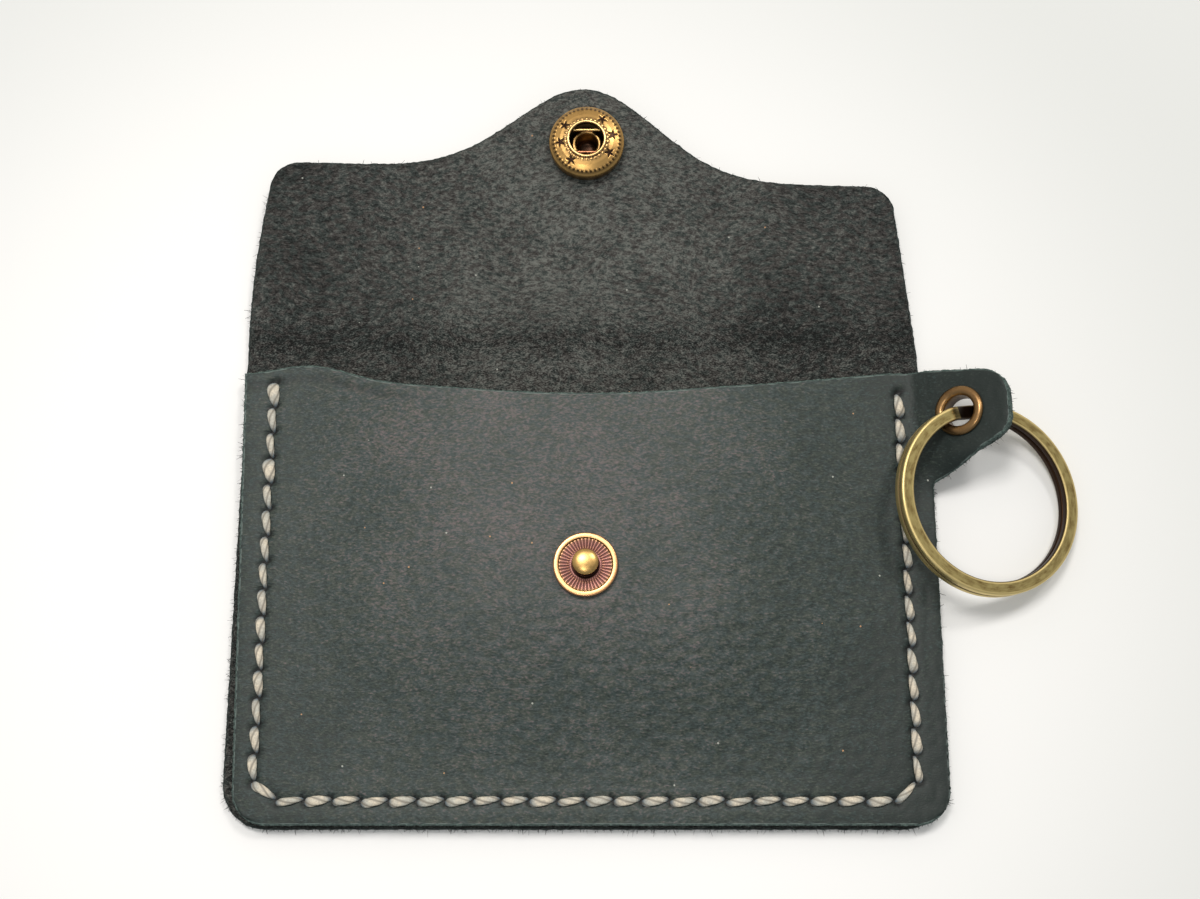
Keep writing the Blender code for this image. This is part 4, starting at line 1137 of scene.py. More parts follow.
def socket_marks(angle, profile):
    """Stamped stars and two rings of dots on the socket's face, as shares of their depth."""
    radius, height = profile[:, 0], profile[:, 1]
    face = smooth((height - SOCKET_HEIGHT / 2) / SHEET_METAL)
    stars = sum(star_depth(angle, profile, math.radians(degrees)) for degrees in STAR_ANGLES)
    inner, outer = (
        face * hill(radius - circle_of_dots, DOT_SIZE) * smooth(0.5 - DOT_SHARPNESS * np.cos(count * angle))
        for circle_of_dots, count in ((INNER_DOTS, INNER_DOT_COUNT), (OUTER_DOTS, OUTER_DOT_COUNT)))
    return face * np.clip(stars, 0, 1), inner, outer


def build_socket(flap_frame, material):
    """The socket: a drawn cup with a rolled lip, a beaded ring, six stars and a milled border."""
    outer, mouth, wall = SOCKET_RADIUS, SOCKET_MOUTH, SHEET_METAL
    top = SOCKET_HEIGHT
    hole = CAP_BARREL + SEAT_GAP
    lip = oval(mouth + LIP / 2, top - LIP / 2, LIP / 2, LIP / 2, 180, 20, 12)
    face = np.array([
        (INNER_DOTS - DOT_SIZE, top - 0.8 * LIP),
        (INNER_DOTS + DOT_SIZE, top - 0.85 * LIP),
        (STAR_CIRCLE, top - 1.15 * LIP),
        (OUTER_DOTS - DOT_SIZE, top - 1.7 * LIP),
        (OUTER_DOTS + DOT_SIZE / 2, top - 2.1 * LIP)])
    rim = oval(outer - LIP, top - 3.4 * LIP, LIP, LIP, 50, 0, 8)
    side = np.array([(outer, wall), (outer - wall / 4, wall / 3), (outer - wall, 0), (hole, 0), (hole, wall)])
    inside = np.array([
        (outer - LIP - wall, wall),
        (outer - LIP - wall, top - 3.4 * LIP - wall),
        (STAR_CIRCLE, top - 1.15 * LIP - wall),
        (mouth + LIP / 2, top - LIP - wall / 2),
        (mouth, top - LIP - wall / 2)])
    profile = finer(np.concatenate([lip, face, rim]), SOCKET_CELL)
    profile = np.concatenate([profile, finer(side, 4 * SOCKET_CELL)[1:], inside])

    def relief(angle, line):
        stars, inner, outer_dots = socket_marks(angle, line)
        return -STAR_STAMP * stars + DOT_RAISE * inner + DOT_RAISE * outer_dots

    steps = SOCKET_STEPS
    points, faces = turned(profile, steps, relief)
    angle = round_angles(steps)[:, None]
    stars, inner, outer_dots = socket_marks(angle, profile)
    radius = profile[:, 0]
    grooves = hill(radius - INNER_DOTS, 1.5 * DOT_SIZE) + hill(radius - OUTER_DOTS, 1.5 * DOT_SIZE)
    # Patina in the stars and the grooves round the dots, and painted shade inside the mouth
    recess = np.clip(stars + 0.9 * grooves * (1 - np.clip(inner + outer_dots, 0, 1)), 0, 1)
    recess = np.maximum(recess, smooth((mouth + LIP / 4 - radius) / LIP * 4) * np.ones((steps, 1)))
    shine = hill(radius - mouth - LIP / 2, LIP) * np.ones((steps, 1))
    matrix = flap_frame @ Matrix.Translation((0, SNAP_REACH, SEAT_GAP - FOLD_RISE))
    values = {"recess": recess.ravel(), "shine": shine.ravel()}
    piece = make_piece("socket_stamped", place(points, matrix), faces, [material], values=values)
    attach(piece, "flap")
    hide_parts("snap_socket")


def build_cap(flap_frame, material):
    """The cap on the flap's outer side: a domed button with a curled edge, and the barrel rolled over."""
    bore = CAP_BARREL - EYELET_WALL
    base = LEATHER + 2 * SEAT_GAP + SHEET_METAL + SEAT_GAP
    edge = SHEET_METAL * 1.5
    roll = oval(CAP_BARREL + ROLL_HALF / 2, base + ROLL_HALF / 2, ROLL_HALF, ROLL_HALF / 2, 180, -90, 12)
    profile = np.concatenate([
        [(0, -SEAT_GAP), (bore / 2, -SEAT_GAP), (bore, 0)],
        [(bore, base)], roll, [(CAP_BARREL, base - SEAT_GAP / 2), (CAP_BARREL, 0), (CAP_RADIUS - edge, 0)],
        oval(CAP_RADIUS - edge, -edge / 2, edge, edge / 2, 80, 0, 6),
        oval(0, -edge, CAP_RADIUS, CAP_HEIGHT - edge, -4, -88, 26),
        [(0, -CAP_HEIGHT)]])
    points, faces = turned(profile, ROUND_STEPS)
    matrix = flap_frame @ Matrix.Translation((0, SNAP_REACH, -FOLD_RISE - LEATHER - SEAT_GAP))
    # Painted shade in the bore, and half as much on the roll seen inside the socket's mouth
    in_bore = np.hypot(points[:, 0], points[:, 1]) < CAP_BARREL - EYELET_WALL / 2
    recess = in_bore & (points[:, 2] > -SHEET_METAL) & (points[:, 2] < base)
    recess = np.maximum(recess, 0.5 * (points[:, 2] > LEATHER))
    values = {"recess": recess, "shine": np.zeros(len(points))}
    piece = make_piece("cap_domed", place(points, matrix), faces, [material], values=values)
    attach(piece, "flap")
    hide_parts("snap_cap")


def build_spring(flap_frame, material):
    """The wire spring in the socket: two bars and the bend that joins them, as one round wire."""
    angle = np.linspace(-math.pi / 2, math.pi / 2, 24)
    bend = np.stack([SPRING_HALF_BAR + SPRING_BEND * np.cos(angle), SPRING_HALF_GAP * np.sin(angle)], axis=1)
    bar = np.linspace(-SPRING_HALF_BAR, SPRING_HALF_BAR, 15, endpoint=False)
    low = np.stack([bar, np.full(len(bar), -SPRING_HALF_GAP)], axis=1)
    flat = np.concatenate([low, bend, low[::-1] * [1, -1]])
    level = SOCKET_HEIGHT - LIP - SHEET_METAL - SPRING_WIRE / 2 - SEAT_GAP / 2
    path = np.column_stack([flat, np.full(len(flat), level)])
    section = SPRING_WIRE / 2 * circle(round_angles(SPRING_SIDES))
    sections = np.tile(section, (len(path), 1, 1))
    up = np.tile([0.0, 0.0, 1.0], (len(path), 1))
    points = carried(path, up, sections).reshape(-1, 3)
    matrix = flap_frame @ Matrix.Translation((0, SNAP_REACH, SEAT_GAP - FOLD_RISE))
    far_bar = np.repeat(smooth(0.5 + path[:, 1] / SPRING_HALF_GAP), SPRING_SIDES)
    values = {"recess": 1 - far_bar, "shine": far_bar}
    faces = tube_faces(len(path), SPRING_SIDES)
    piece = make_piece("spring_wire_bars", place(points, matrix), faces, [material], values=values)
    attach(piece, "flap")
    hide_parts("snap_spring")


def build_stud(material):
    """The stud: a rolled rim, a fluted dish and a necked ball."""
    outer = STUD_RADIUS
    rim_middle = outer - STUD_ROLL
    top = STUD_HIGH[2] - STUD_BASE
    ball = oval(0, BALL_MIDDLE, BALL_RADIUS, top - BALL_MIDDLE, 86, 0, 18)
    under = oval(0, BALL_MIDDLE, BALL_RADIUS, BALL_UNDER, -8, -42, 7)
    neck = np.array([(NECK_RADIUS, BALL_MIDDLE - BALL_UNDER), (NECK_RADIUS, DISH_LOW + DISH_BEVEL)])
    dish = np.array([(NECK_RADIUS + DISH_BEVEL, DISH_LOW), (FLUTE_START, DISH_LOW), (FLUTE_END, DISH_HIGH)])
    rim = oval(rim_middle, STUD_RIM / 2, STUD_ROLL, STUD_RIM / 2, 172, -80, 40, RIM_SQUARE)
    bore = NECK_RADIUS - SHEET_METAL
    under_side = np.array([
        (NECK_RADIUS, 0), (bore, SHEET_METAL), (bore, BALL_MIDDLE - SHEET_METAL),
        (bore / 2, BALL_MIDDLE), (0, BALL_MIDDLE)])
    line = finer(np.concatenate([ball, under, neck, dish, rim]), STUD_CELL)
    profile = np.concatenate([[(0, top)], line, under_side])

    def flutes(angle, line_points):
        radius, height = line_points.T
        zone = band(radius, FLUTE_START, FLUTE_END, FLUTE_FADE) * smooth((height / DISH_LOW - 0.5) * 4)
        return FLUTE_DEPTH * zone * (np.abs(np.cos(FLUTES / 2 * angle)) - FLUTE_SINK_SHARE)

    steps = FLUTES * FLUTE_STEPS
    points, faces = turned(profile, steps, flutes)
    angle = round_angles(steps)[:, None]
    radius, height = profile[1:-1].T
    crest = flutes(angle, profile[1:-1]) / FLUTE_DEPTH
    in_flutes = band(radius, BALL_RADIUS, FLUTE_END, FLUTE_FADE) * smooth((STUD_RIM - height) / SHEET_METAL)
    # Painted shadow of the ball on the dish round its neck
    ball_shadow = smooth((FLUTE_START - radius) / FLUTE_FADE)
    ball_shadow = ball_shadow * smooth((BALL_MIDDLE - BALL_UNDER - height) / SHEET_METAL)
    # Painted highlights on the flutes' inner ends
    bead_highlight = hill(radius - BEAD_CIRCLE, BEAD_SIZE) * in_flutes * crest.clip(0, 1)
    marks = {
        "recess": np.clip((-crest).clip(0, 1) + ball_shadow, 0, 1),
        "pink": np.broadcast_to(in_flutes, crest.shape),
        "shine": np.maximum(bead_highlight, smooth((radius - FLUTE_END) / FLUTE_FADE))}
    values = {key: np.append(mark.ravel(), [0, 0]) for key, mark in marks.items()}
    matrix = Matrix.Translation((0, SNAP_Y, STUD_BASE))
    piece = make_piece("stud_fluted", place(points, matrix), faces, [material], values=values)
    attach(piece, "wallet")
    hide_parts("snap_stud")


def build_post(material):
    """The post in the pocket: a domed flange and the barrel that holds the stud."""
    bore = BARREL_RADIUS - EYELET_WALL
    room = NECK_RADIUS - SHEET_METAL - SEAT_GAP
    tip = LEATHER + 2 * SEAT_GAP + SHEET_METAL
    flange = oval(POST_RADIUS - POST_FLANGE, -POST_FLANGE / 2, POST_FLANGE, POST_FLANGE / 2, 90, -90, 14)
    profile = np.concatenate([
        [(room - EYELET_WALL, tip), (room, tip), (room, LEATHER + SEAT_GAP)],
        [(BARREL_RADIUS, LEATHER), (BARREL_RADIUS, 0)], flange,
        [(bore, -POST_FLANGE), (bore, LEATHER - EYELET_WALL), (room - EYELET_WALL, LEATHER + SEAT_GAP)]])
    points, faces = turned(profile, ROUND_STEPS)
    matrix = Matrix.Translation((0, SNAP_Y, CROWN_TOP - LEATHER - SEAT_GAP))
    values = {"recess": np.zeros(len(points)), "shine": np.zeros(len(points))}
    piece = make_piece("post_flanged", place(points, matrix), faces, [material], values=values)
    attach(piece, "wallet")
    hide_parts("snap_post")


# Eyelet and ring
def build_eyelet(material):
    """The eyelet's rounded rim and barrel, and the washer that the barrel is rolled over."""
    half = LEATHER / 2
    seat = half + SEAT_GAP
    barrel = EYELET_BORE + EYELET_WALL
    middle = (EYELET_RADIUS + EYELET_BORE) / 2
    rim_half = (EYELET_RADIUS - EYELET_BORE) / 2
    profile = np.concatenate([
        oval(middle, seat, rim_half, EYELET_RIM, 180, 0, 30),
        [(barrel, seat), (barrel, -seat - BARREL_ROLL), (barrel - EYELET_WALL / 3, -seat - WASHER_RIM)],
        [(EYELET_BORE, -seat - BARREL_ROLL)]])
    inner = barrel + SEAT_GAP / 2
    crest = (inner + EYELET_RADIUS) / 2
    washer = np.concatenate([
        [(inner, -seat)], oval(crest, -seat, EYELET_RADIUS - crest, WASHER_RIM, 0, -90, 14),
        [(inner, -seat - BARREL_ROLL)]])
    matrix = Matrix.Translation(RING_PIVOT) @ Matrix.Rotation(-TAB_ANGLE, 4, "Y")
    for name, node, line in (
            ("eyelet_rolled", "eyelet", profile), ("washer_rolled", "eyelet_washer", washer)):
        points, faces = turned(line, ROUND_STEPS)
        radius = np.tile(line[:, 0], ROUND_STEPS)
        height = np.tile(line[:, 1], ROUND_STEPS)
        # Painted shade on the inner side of the rim and down the bore
        recess = smooth((middle - EYELET_WALL - radius) / EYELET_WALL)
        recess *= smooth((seat + EYELET_RIM / 2 - height) / EYELET_RIM)
        values = {"recess": recess, "shine": 0 * recess}
        piece = make_piece(name, place(points, matrix), faces, [material], values=values)
        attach(piece, "wallet")
        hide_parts(node)


def ring_turns():
    """Angle in degrees and level of the wire: once round above, a step down, once round below."""
    level = (RING_WIRE_HEIGHT + RING_COIL_GAP) / 2
    step_from = 360 + RING_STEP_SHIFT - RING_STEP_HALF
    step_to = 360 + RING_STEP_SHIFT + RING_STEP_HALF
    upper = np.arange(RING_UPPER_END, step_from, RING_FACET)
    step = np.linspace(step_from, step_to, 24, endpoint=False)
    lower = np.linspace(step_to, 720 - RING_LOWER_END, round((720 - RING_LOWER_END - step_to) / RING_FACET))
    angle = np.concatenate([upper, step, lower])
    height = level - 2 * level * smooth((angle - step_from) / (step_to - step_from))
    return np.radians(angle), height


def build_ring(material):
    """The split ring of flat wire, its corners rounded, lying on the table by its low side."""
    radius = (RING_DIAMETER - RING_WIRE_WIDTH) / 2
    reach = RING_DIAMETER / 2 + radius * math.sin(RING_HEADING)
    half_height = (2 * RING_WIRE_HEIGHT + RING_COIL_GAP) / 2
    drop = half_height + RING_DROP
    tilt = math.asin((RING_PIVOT[2] - TABLE_GAP) / math.hypot(reach, drop)) - math.atan2(drop, reach)
    normal = np.array([math.sin(tilt), 0, math.cos(tilt)])
    level = np.array([math.cos(tilt), 0, -math.sin(tilt)])
    to_hole = np.array([0, math.cos(RING_HEADING), 0]) - level * math.sin(RING_HEADING)
    tangent = np.cross(to_hole, normal)
    centre = RING_PIVOT - to_hole * radius - normal * RING_DROP
    angle, height = ring_turns()
    spoke = to_hole * np.cos(angle)[:, None] + tangent * np.sin(angle)[:, None]
    path = centre + spoke * radius + normal * height[:, None]
    half = np.array([RING_WIRE_WIDTH / 2 - RING_WIRE_ROUND, RING_WIRE_HEIGHT / 2 - RING_WIRE_ROUND])
    quarter = RING_WIRE_ROUND * circle(np.radians(np.linspace(0, 90, 6))) + half
    flat_x = half[0] * np.linspace(RING_FLAT_SHARE, -RING_FLAT_SHARE, 7)
    across = np.stack([flat_x, np.full(len(flat_x), RING_WIRE_HEIGHT / 2)], axis=1)
    upper = np.concatenate([quarter, across, (quarter * [-1, 1])[::-1]])
    section = np.concatenate([upper, -upper])
    sections = np.tile(section, (len(path), 1, 1))
    points = path[:, None] + sections[..., :1] * spoke[:, None] + sections[..., 1:] * normal
    count = len(section)
    outer_edge = np.abs(section[:, 0]) / (RING_WIRE_WIDTH / 2)
    past_flat = (np.abs(section) - half) / RING_WIRE_ROUND
    # Edges worn bright, with a painted highlight on them
    worn = smooth((np.hypot(*past_flat.clip(0).T) - RING_WORN_FROM) * 3)
    worn = worn * smooth((np.minimum(*past_flat.T) + RING_WORN_EASE) * 2)
    # Painted shade on the inner wall and on the faces between the coils
    inner_wall = smooth((-section[:, 0] - half[0]) / RING_WIRE_ROUND)
    coil_gap = smooth((-section[:, 1] * np.sign(height)[:, None] - half[1]) / RING_WIRE_ROUND)
    along = np.repeat(angle * radius, count)
    values = {
        "wear_and_highlight": np.tile(worn, len(path)),
        "recess": np.clip(np.tile(inner_wall, len(path)) + coil_gap.ravel(), 0, 1),
        "wire": np.column_stack([along, np.tile(section, (len(path), 1))]),
        "shine": np.tile(outer_edge, len(path))}
    piece = make_piece("split_ring_wire", points, tube_faces(len(path), count), [material], values=values)
    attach(piece, "ring")
    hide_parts("key_ring")


# Loose fibres
def fibre_share(roots):
    """How thick loose fibres stand at their roots: dense at the left, the bottom and the tab's lower edge."""
    x, y = roots[:, 0], roots[:, 1]
    left = smooth((-x - HALF_WIDTH + FIBRE_FADE) / FIBRE_FADE)
    low = smooth((BOTTOM_Y + FIBRE_FADE - y) / FIBRE_FADE)
    tab = smooth((x - TAB_BEND_X) / FIBRE_FADE) * smooth((FRONT_TOP_Y - FIBRE_FADE - y) / FIBRE_FADE)
    tab *= smooth((y - TAB_TWIST_Y + 2 * FIBRE_FADE) / FIBRE_FADE)
    return np.clip(FIBRE_LEAST + left + FIBRE_LOW_SHARE * low + tab, 0, 1)


def fibre_tufts(edge, outward, normal, material, name, body, draw):
    """Loose fibres along an edge: each a three-sided taper along root + direction·s + curl·s²."""
    length = np.linalg.norm(np.diff(edge, axis=0), axis=1)
    along = np.concatenate([[0.0], np.cumsum(length)])
    count = int(along[-1] / FIBRE_SPACING)
    at = draw.uniform(0, along[-1], count)
    roots, out, up = (
        np.stack([np.interp(at, along, field[:, axis]) for axis in range(3)], axis=1)
        for field in (edge, outward, normal))
    kept = draw.uniform(0, 1, count) < fibre_share(roots)
    roots, out, up = roots[kept], out[kept], up[kept]
    count = len(roots)
    roots = roots + up * draw.uniform(*FIBRE_ROOTS, (count, 1)) * LEATHER - out * CUT_ROUND
    direction = unit(out + draw.normal(0, FIBRE_SPREAD, (count, 3)) - up * FIBRE_SAG)
    reach = np.minimum(FIBRE_LENGTH * draw.lognormal(0, FIBRE_VARIATION, count), FIBRE_LONGEST)
    share = np.linspace(0, 1, FIBRE_ROWS)
    curl = draw.normal(0, FIBRE_CURL, (count, 3))
    path = roots[:, None] + direction[:, None] * (reach[:, None] * share)[..., None]
    path = path + curl[:, None] * (reach[:, None] * share**2)[..., None]
    side = unit(np.cross(direction, draw.normal(0, 1, (count, 3))))
    over = np.cross(direction, side)
    corner = np.radians([90, 210, 330])[:, None]
    around = side[:, None] * np.cos(corner) + over[:, None] * np.sin(corner)
    taper = FIBRE_THICKNESS * draw.uniform(*FIBRE_WIDTHS, (count, 1)) * (1 - FIBRE_TAPER * share)
    points = path[:, :, None] + around[:, None] * taper[..., None, None]
    points[..., 2] = np.maximum(points[..., 2], FIBRE_THICKNESS / 2)
    offset = (np.arange(count) * FIBRE_ROWS * 3)[:, None, None]
    faces = [(group + offset).reshape(-1, group.shape[1]) for group in tube_faces(FIBRE_ROWS, 3)]
    piece = make_piece(name, points, faces, [material])
    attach(piece, body)


def build_fibres(front, back, material):
    """Loose fibres on the cut edges: of the front leather, the back leather and the flap."""
    draw = np.random.default_rng(31)
    edge = front[0]
    mouth = (edge[:, 1] > FRONT_TOP_Y - MOUTH_DEPTH - CUT_ROUND) & (np.abs(edge[:, 0]) < STITCH_X)
    run = back[0][:, 1] - FOLD_Y
    for name, body, outline, part in (
            ("fibres_front", "wallet", front, ~mouth),
            ("fibres_back", "wallet", back, run < -FOLD_EASE),
            ("fibres_flap", "flap", back, run > FOLD_EASE)):
        start = np.argmax(part & ~np.roll(part, 1))
        loop = (np.roll(field, -start, axis=0)[:part.sum()] for field in outline)
        fibre_tufts(*loop, material, name, body, draw)


# Materials
def to_linear(code):
    """Linear RGBA of an sRGB hex colour."""
    shares = np.array([int(code[index:index + 2], 16) for index in (1, 3, 5)]) / 255
    linear = np.where(shares <= 0.04045, shares / 12.92, ((shares + 0.055) / 1.055) ** 2.4)
    return (*linear.tolist(), 1.0)


def add_node(tree, kind, inputs=None, output=0, **settings):
    """Add a shader node with its settings and links, and give one of its outputs.

    An input is a value, a hex colour or the output that feeds it.
    """
    node = tree.nodes.new("ShaderNode" + kind)
    for key, value in settings.items():
        setattr(node, key, value)
    for key, value in (inputs or {}).items():
        if isinstance(value, bpy.types.NodeSocket):
            tree.links.new(value, node.inputs[key])
        else:
            node.inputs[key].default_value = to_linear(value) if isinstance(value, str) else value
    return node.outputs[output]


def start_finish(name, constants):
    """A new material and add_node for its tree; the constants are set on the shader's own sockets."""
    material = bpy.data.materials.new(name)
    material.use_nodes = True
    for key, value in constants.items():
        material.node_tree.nodes["Principled BSDF"].inputs[key].default_value = value
    return material, partial(add_node, material.node_tree)


def end_finish(material, sources):
    """Link each output to its socket on the shader, and give the finished material."""
    tree = material.node_tree
    for key, source in sources.items():
        tree.links.new(source, tree.nodes["Principled BSDF"].inputs[key])
    return material


def laid_over(add, colour, layers):
    """A colour with others laid over it in turn, each by its share."""
    for share, over in layers:
        colour = add("Mix", {0: share, 6: colour, 7: over}, **COLOURED)
    return colour


def leather_places(add, size, wander):
    """Flat places of a leather, and the same led astray by up to the wander with a soft noise."""
    flat = add("Attribute", output="Vector", attribute_name="flat")
    noise = add("TexNoise", {"Vector": flat, "Scale": 1 / size, "Detail": 1.0}, "Color")
    return flat, add("VectorMath", {0: noise, 1: (wander, wander, 0.0), 2: flat}, **WEIGHTED)


def leather_tone(add, flat, fine, coarse):
    """Tone of a leather's face: its coarse pattern, some of its fine one, and wide soft clouds."""
    tone = add("Math", {0: fine, 1: FINE_WEIGHT, 2: coarse}, **WEIGHTED)
    cloud = add("TexNoise", {"Vector": flat, "Scale": 1 / CLOUD_SIZE, "Detail": 3.0})
    return add("Math", {0: cloud, 1: CLOUD_WEIGHT, 2: tone}, **WEIGHTED)


def leather_specks(add, flat, colour):
    """The colour with a few pale and warm specks of dust, one to some cells of the specks' spacing."""
    distance = add("TexVoronoi", {"Vector": flat, "Scale": 1 / SPECK_SPACING}, "Distance")
    split = add("SeparateColor", {0: distance.node.outputs["Color"]})
    near = add("Math", {0: distance, 1: SPECK_SIZE / SPECK_SPACING}, operation="LESS_THAN")
    chosen = add("Math", {0: split, 1: SPECK_SHARE}, operation="LESS_THAN")
    warm = add("Math", {0: split.node.outputs[1], 1: SPECK_WARM_SHARE}, operation="GREATER_THAN")
    speck = add("Mix", {0: warm, 6: SPECK_PALE, 7: SPECK_WARM}, **COLOURED)
    both = add("Math", {0: near, 1: chosen}, operation="MULTIPLY")
    seen = add("Math", {0: both, 1: SPECK_STRENGTH}, operation="MULTIPLY")
    return add("Mix", {0: seen, 6: colour, 7: speck}, **COLOURED)


def leather_colour(add, flat, drawn, tone, ranges, colours):
    """Colour by tone, from dark through either of two middle colours to light, with specks of dust on it.

    The shares of the light colour and of the second middle colour are given with it.
    """
    dark, first, second, pale = colours
    tint = add("TexNoise", {"Vector": drawn, "Scale": 1 / TINT_SIZE, "Detail": 2.0}, "Color")
    tint = add("SeparateColor", {0: tint}, 1)
    body, light, cool = (
        add("MapRange", {"Value": value, "From Min": low, "From Max": high}, **EASED)
        for value, (low, high) in zip((tone, tone, tint), (*ranges, TINT_RANGE)))
    colour = add("Mix", {0: cool, 6: first, 7: second}, **COLOURED)
    colour = add("Mix", {0: body, 6: dark, 7: colour}, **COLOURED)
    colour = add("Mix", {0: light, 6: colour, 7: pale}, **COLOURED)
    return leather_specks(add, flat, colour), light, cool


def grain_leather():
    """Waxed full-grain leather: matt blue-green black, with short streaks of paler wax over soft pebbles."""
    material, add = start_finish("waxed_grain_leather", {"IOR": 1.45})
    flat, bent = leather_places(add, WANDER_SIZE, WANDER)
    drawn = add("Mapping", {"Vector": bent, "Scale": (0.5, 1.0, 1.0)})
    across = add("Mapping", {"Vector": bent, "Rotation": (0, 0, 1.2), "Scale": (0.45, 1.0, 1.0)})
    streaks = add("TexNoise", {"Vector": drawn, "Scale": 1 / STREAK_WIDTH, "Detail": 3.0, "Roughness": 0.65})
    hairs = add("TexNoise", {"Vector": across, "Scale": 1 / GRAIN_SIZE, "Detail": 2.0, "Roughness": 0.6})
    hollow, edge, crease, shade = (
        add("Attribute", output="Fac", attribute_name=name) for name in ("hollow", "edge", "crease", "shade"))

    # Painted sheen round the middle of the front, where the lights' reflection falls: the tone falls with the
    # square of the distance from it
    stretched = add("VectorMath", {0: flat, 1: SHEEN_STRETCH}, operation="MULTIPLY")
    away = add("VectorMath", {0: stretched, 1: SHEEN_MIDDLE_GRAIN}, "Value", operation="DISTANCE")
    square = add("Math", {0: away, 1: away}, operation="MULTIPLY")
    painted_sheen = add("Math", {0: square, 1: -SHEEN_FALL, 2: SHEEN_TONE}, **WEIGHTED)
    tone = leather_tone(add, flat, hairs, streaks)
    # Painted shade in the hollows between the pebbles
    tone = add("Math", {0: hollow, 1: -HOLLOW_SHADE, 2: tone}, **WEIGHTED)
    tone = add("Math", {0: tone, 1: painted_sheen})
    colour, light, cool = leather_colour(
        add, flat, drawn, tone, GRAIN_RANGES, (GRAIN_DARK, GRAIN_BLUE, GRAIN_GREEN, GRAIN_LIGHT))

    worn = add("MapRange", {"Value": edge, "From Min": 1.6 * CUT_ROUND, "From Max": 0.0, "To Max": 0.8})
    worn = add("Math", {0: worn, 1: cool}, operation="MULTIPLY")
    pulled = add("Math", {0: crease, 1: light}, operation="MULTIPLY")
    # Worn edges and pulled creases lighter; painted shade in the slots and the mouth's crease
    colour = laid_over(add, colour, [(worn, GRAIN_EDGE), (pulled, GRAIN_EDGE), (shade, HOLE_SHADE)])
    rough = add("Math", {0: streaks, 1: 0.3, 2: 0.42}, **WEIGHTED)
    fine = add("Bump", {"Height": hairs, "Distance": GRAIN_DEPTH})
    lined = add("Bump", {"Height": streaks, "Distance": GRAIN_DEPTH, "Normal": fine})
    return end_finish(material, {"Base Color": colour, "Roughness": rough, "Normal": lined})


def suede():
    """Napped flesh side: tufts of short fibres combed mostly sideways, near black between their grey tips."""
    material, add = start_finish("napped_flesh_side", {
        "Specular IOR Level": 0.25, "Sheen Weight": 0.3, "Sheen Roughness": 0.5,
        "Sheen Tint": to_linear(SUEDE_TIP)})
    flat, bent = leather_places(add, COMB_SIZE, COMB_WANDER)
    combed = add("Mapping", {"Vector": bent, "Rotation": (0, 0, 0.15), "Scale": (0.6, 1.0, 1.0)})
    tufts = {"Vector": combed, "Scale": 1 / NAP_SIZE, "Detail": 4.0, "Roughness": 0.68, "Distortion": 0.3}
    tufts = add("TexNoise", tufts)
    fine = add("TexNoise", {"Vector": combed, "Scale": 3 / NAP_SIZE, "Detail": 2.0, "Roughness": 0.6})
    fold, fold_shade = (
        add("Attribute", output="Fac", attribute_name=name) for name in ("fold", "fold_shade"))

    # Painted sheen towards the snap, painted shade in a band along the fold, with deeper nap beside it
    away = add("VectorMath", {0: flat, 1: SHEEN_MIDDLE_NAP}, "Value", operation="DISTANCE")
    painted_sheen = {"Value": away, "From Min": SHEEN_FROM, "From Max": SHEEN_TO, "To Min": 0.09, "To Max": -0.05}
    painted_sheen = add("MapRange", painted_sheen, **EASED)
    height = leather_tone(add, flat, fine, tufts)
    height = add("Math", {0: height, 1: painted_sheen})
    height = add("Math", {0: fold_shade, 1: -FOLD_SHADE_TONE, 2: height}, **WEIGHTED)
    deeper = add("Math", {0: fine, 1: 0.7, 2: -0.34}, **WEIGHTED)
    height = add("Math", {0: fold, 1: deeper, 2: height}, **WEIGHTED)
    colour, light, cool = leather_colour(
        add, flat, combed, height, NAP_RANGES, (SUEDE_DARK, SUEDE_WARM, SUEDE_COOL, SUEDE_TIP))
    normal = add("Bump", {"Height": height, "Distance": NAP_DEPTH})
    rough = add("Math", {0: tufts, 1: 0.1, 2: 0.85}, **WEIGHTED)
    return end_finish(material, {"Base Color": colour, "Roughness": rough, "Normal": normal})


def raw_edge(name, dark, light):
    """Raw cut edge: packed fibres in layers, nearly black on the back and greyed by dye on the front."""
    material, add = start_finish(name, {"Specular IOR Level": 0.3})
    flat = add("Attribute", output="Vector", attribute_name="flat")
    packed = add("Mapping", {"Vector": flat, "Scale": (1.0, 1.0, 3.0)})
    layers = add("TexNoise", {"Vector": packed, "Scale": 1 / EDGE_FIBRE, "Detail": 3.0, "Roughness": 0.65})
    share = add("MapRange", {"Value": layers, "From Min": 0.4, "From Max": 0.7}, **EASED)
    colour = add("Mix", {0: share, 6: dark, 7: light}, **COLOURED)
    rough = add("Math", {0: layers, 1: 0.15, 2: 0.8}, **WEIGHTED)
    normal = add("Bump", {"Height": layers, "Distance": NAP_DEPTH / 2})
    return end_finish(material, {"Base Color": colour, "Roughness": rough, "Normal": normal})


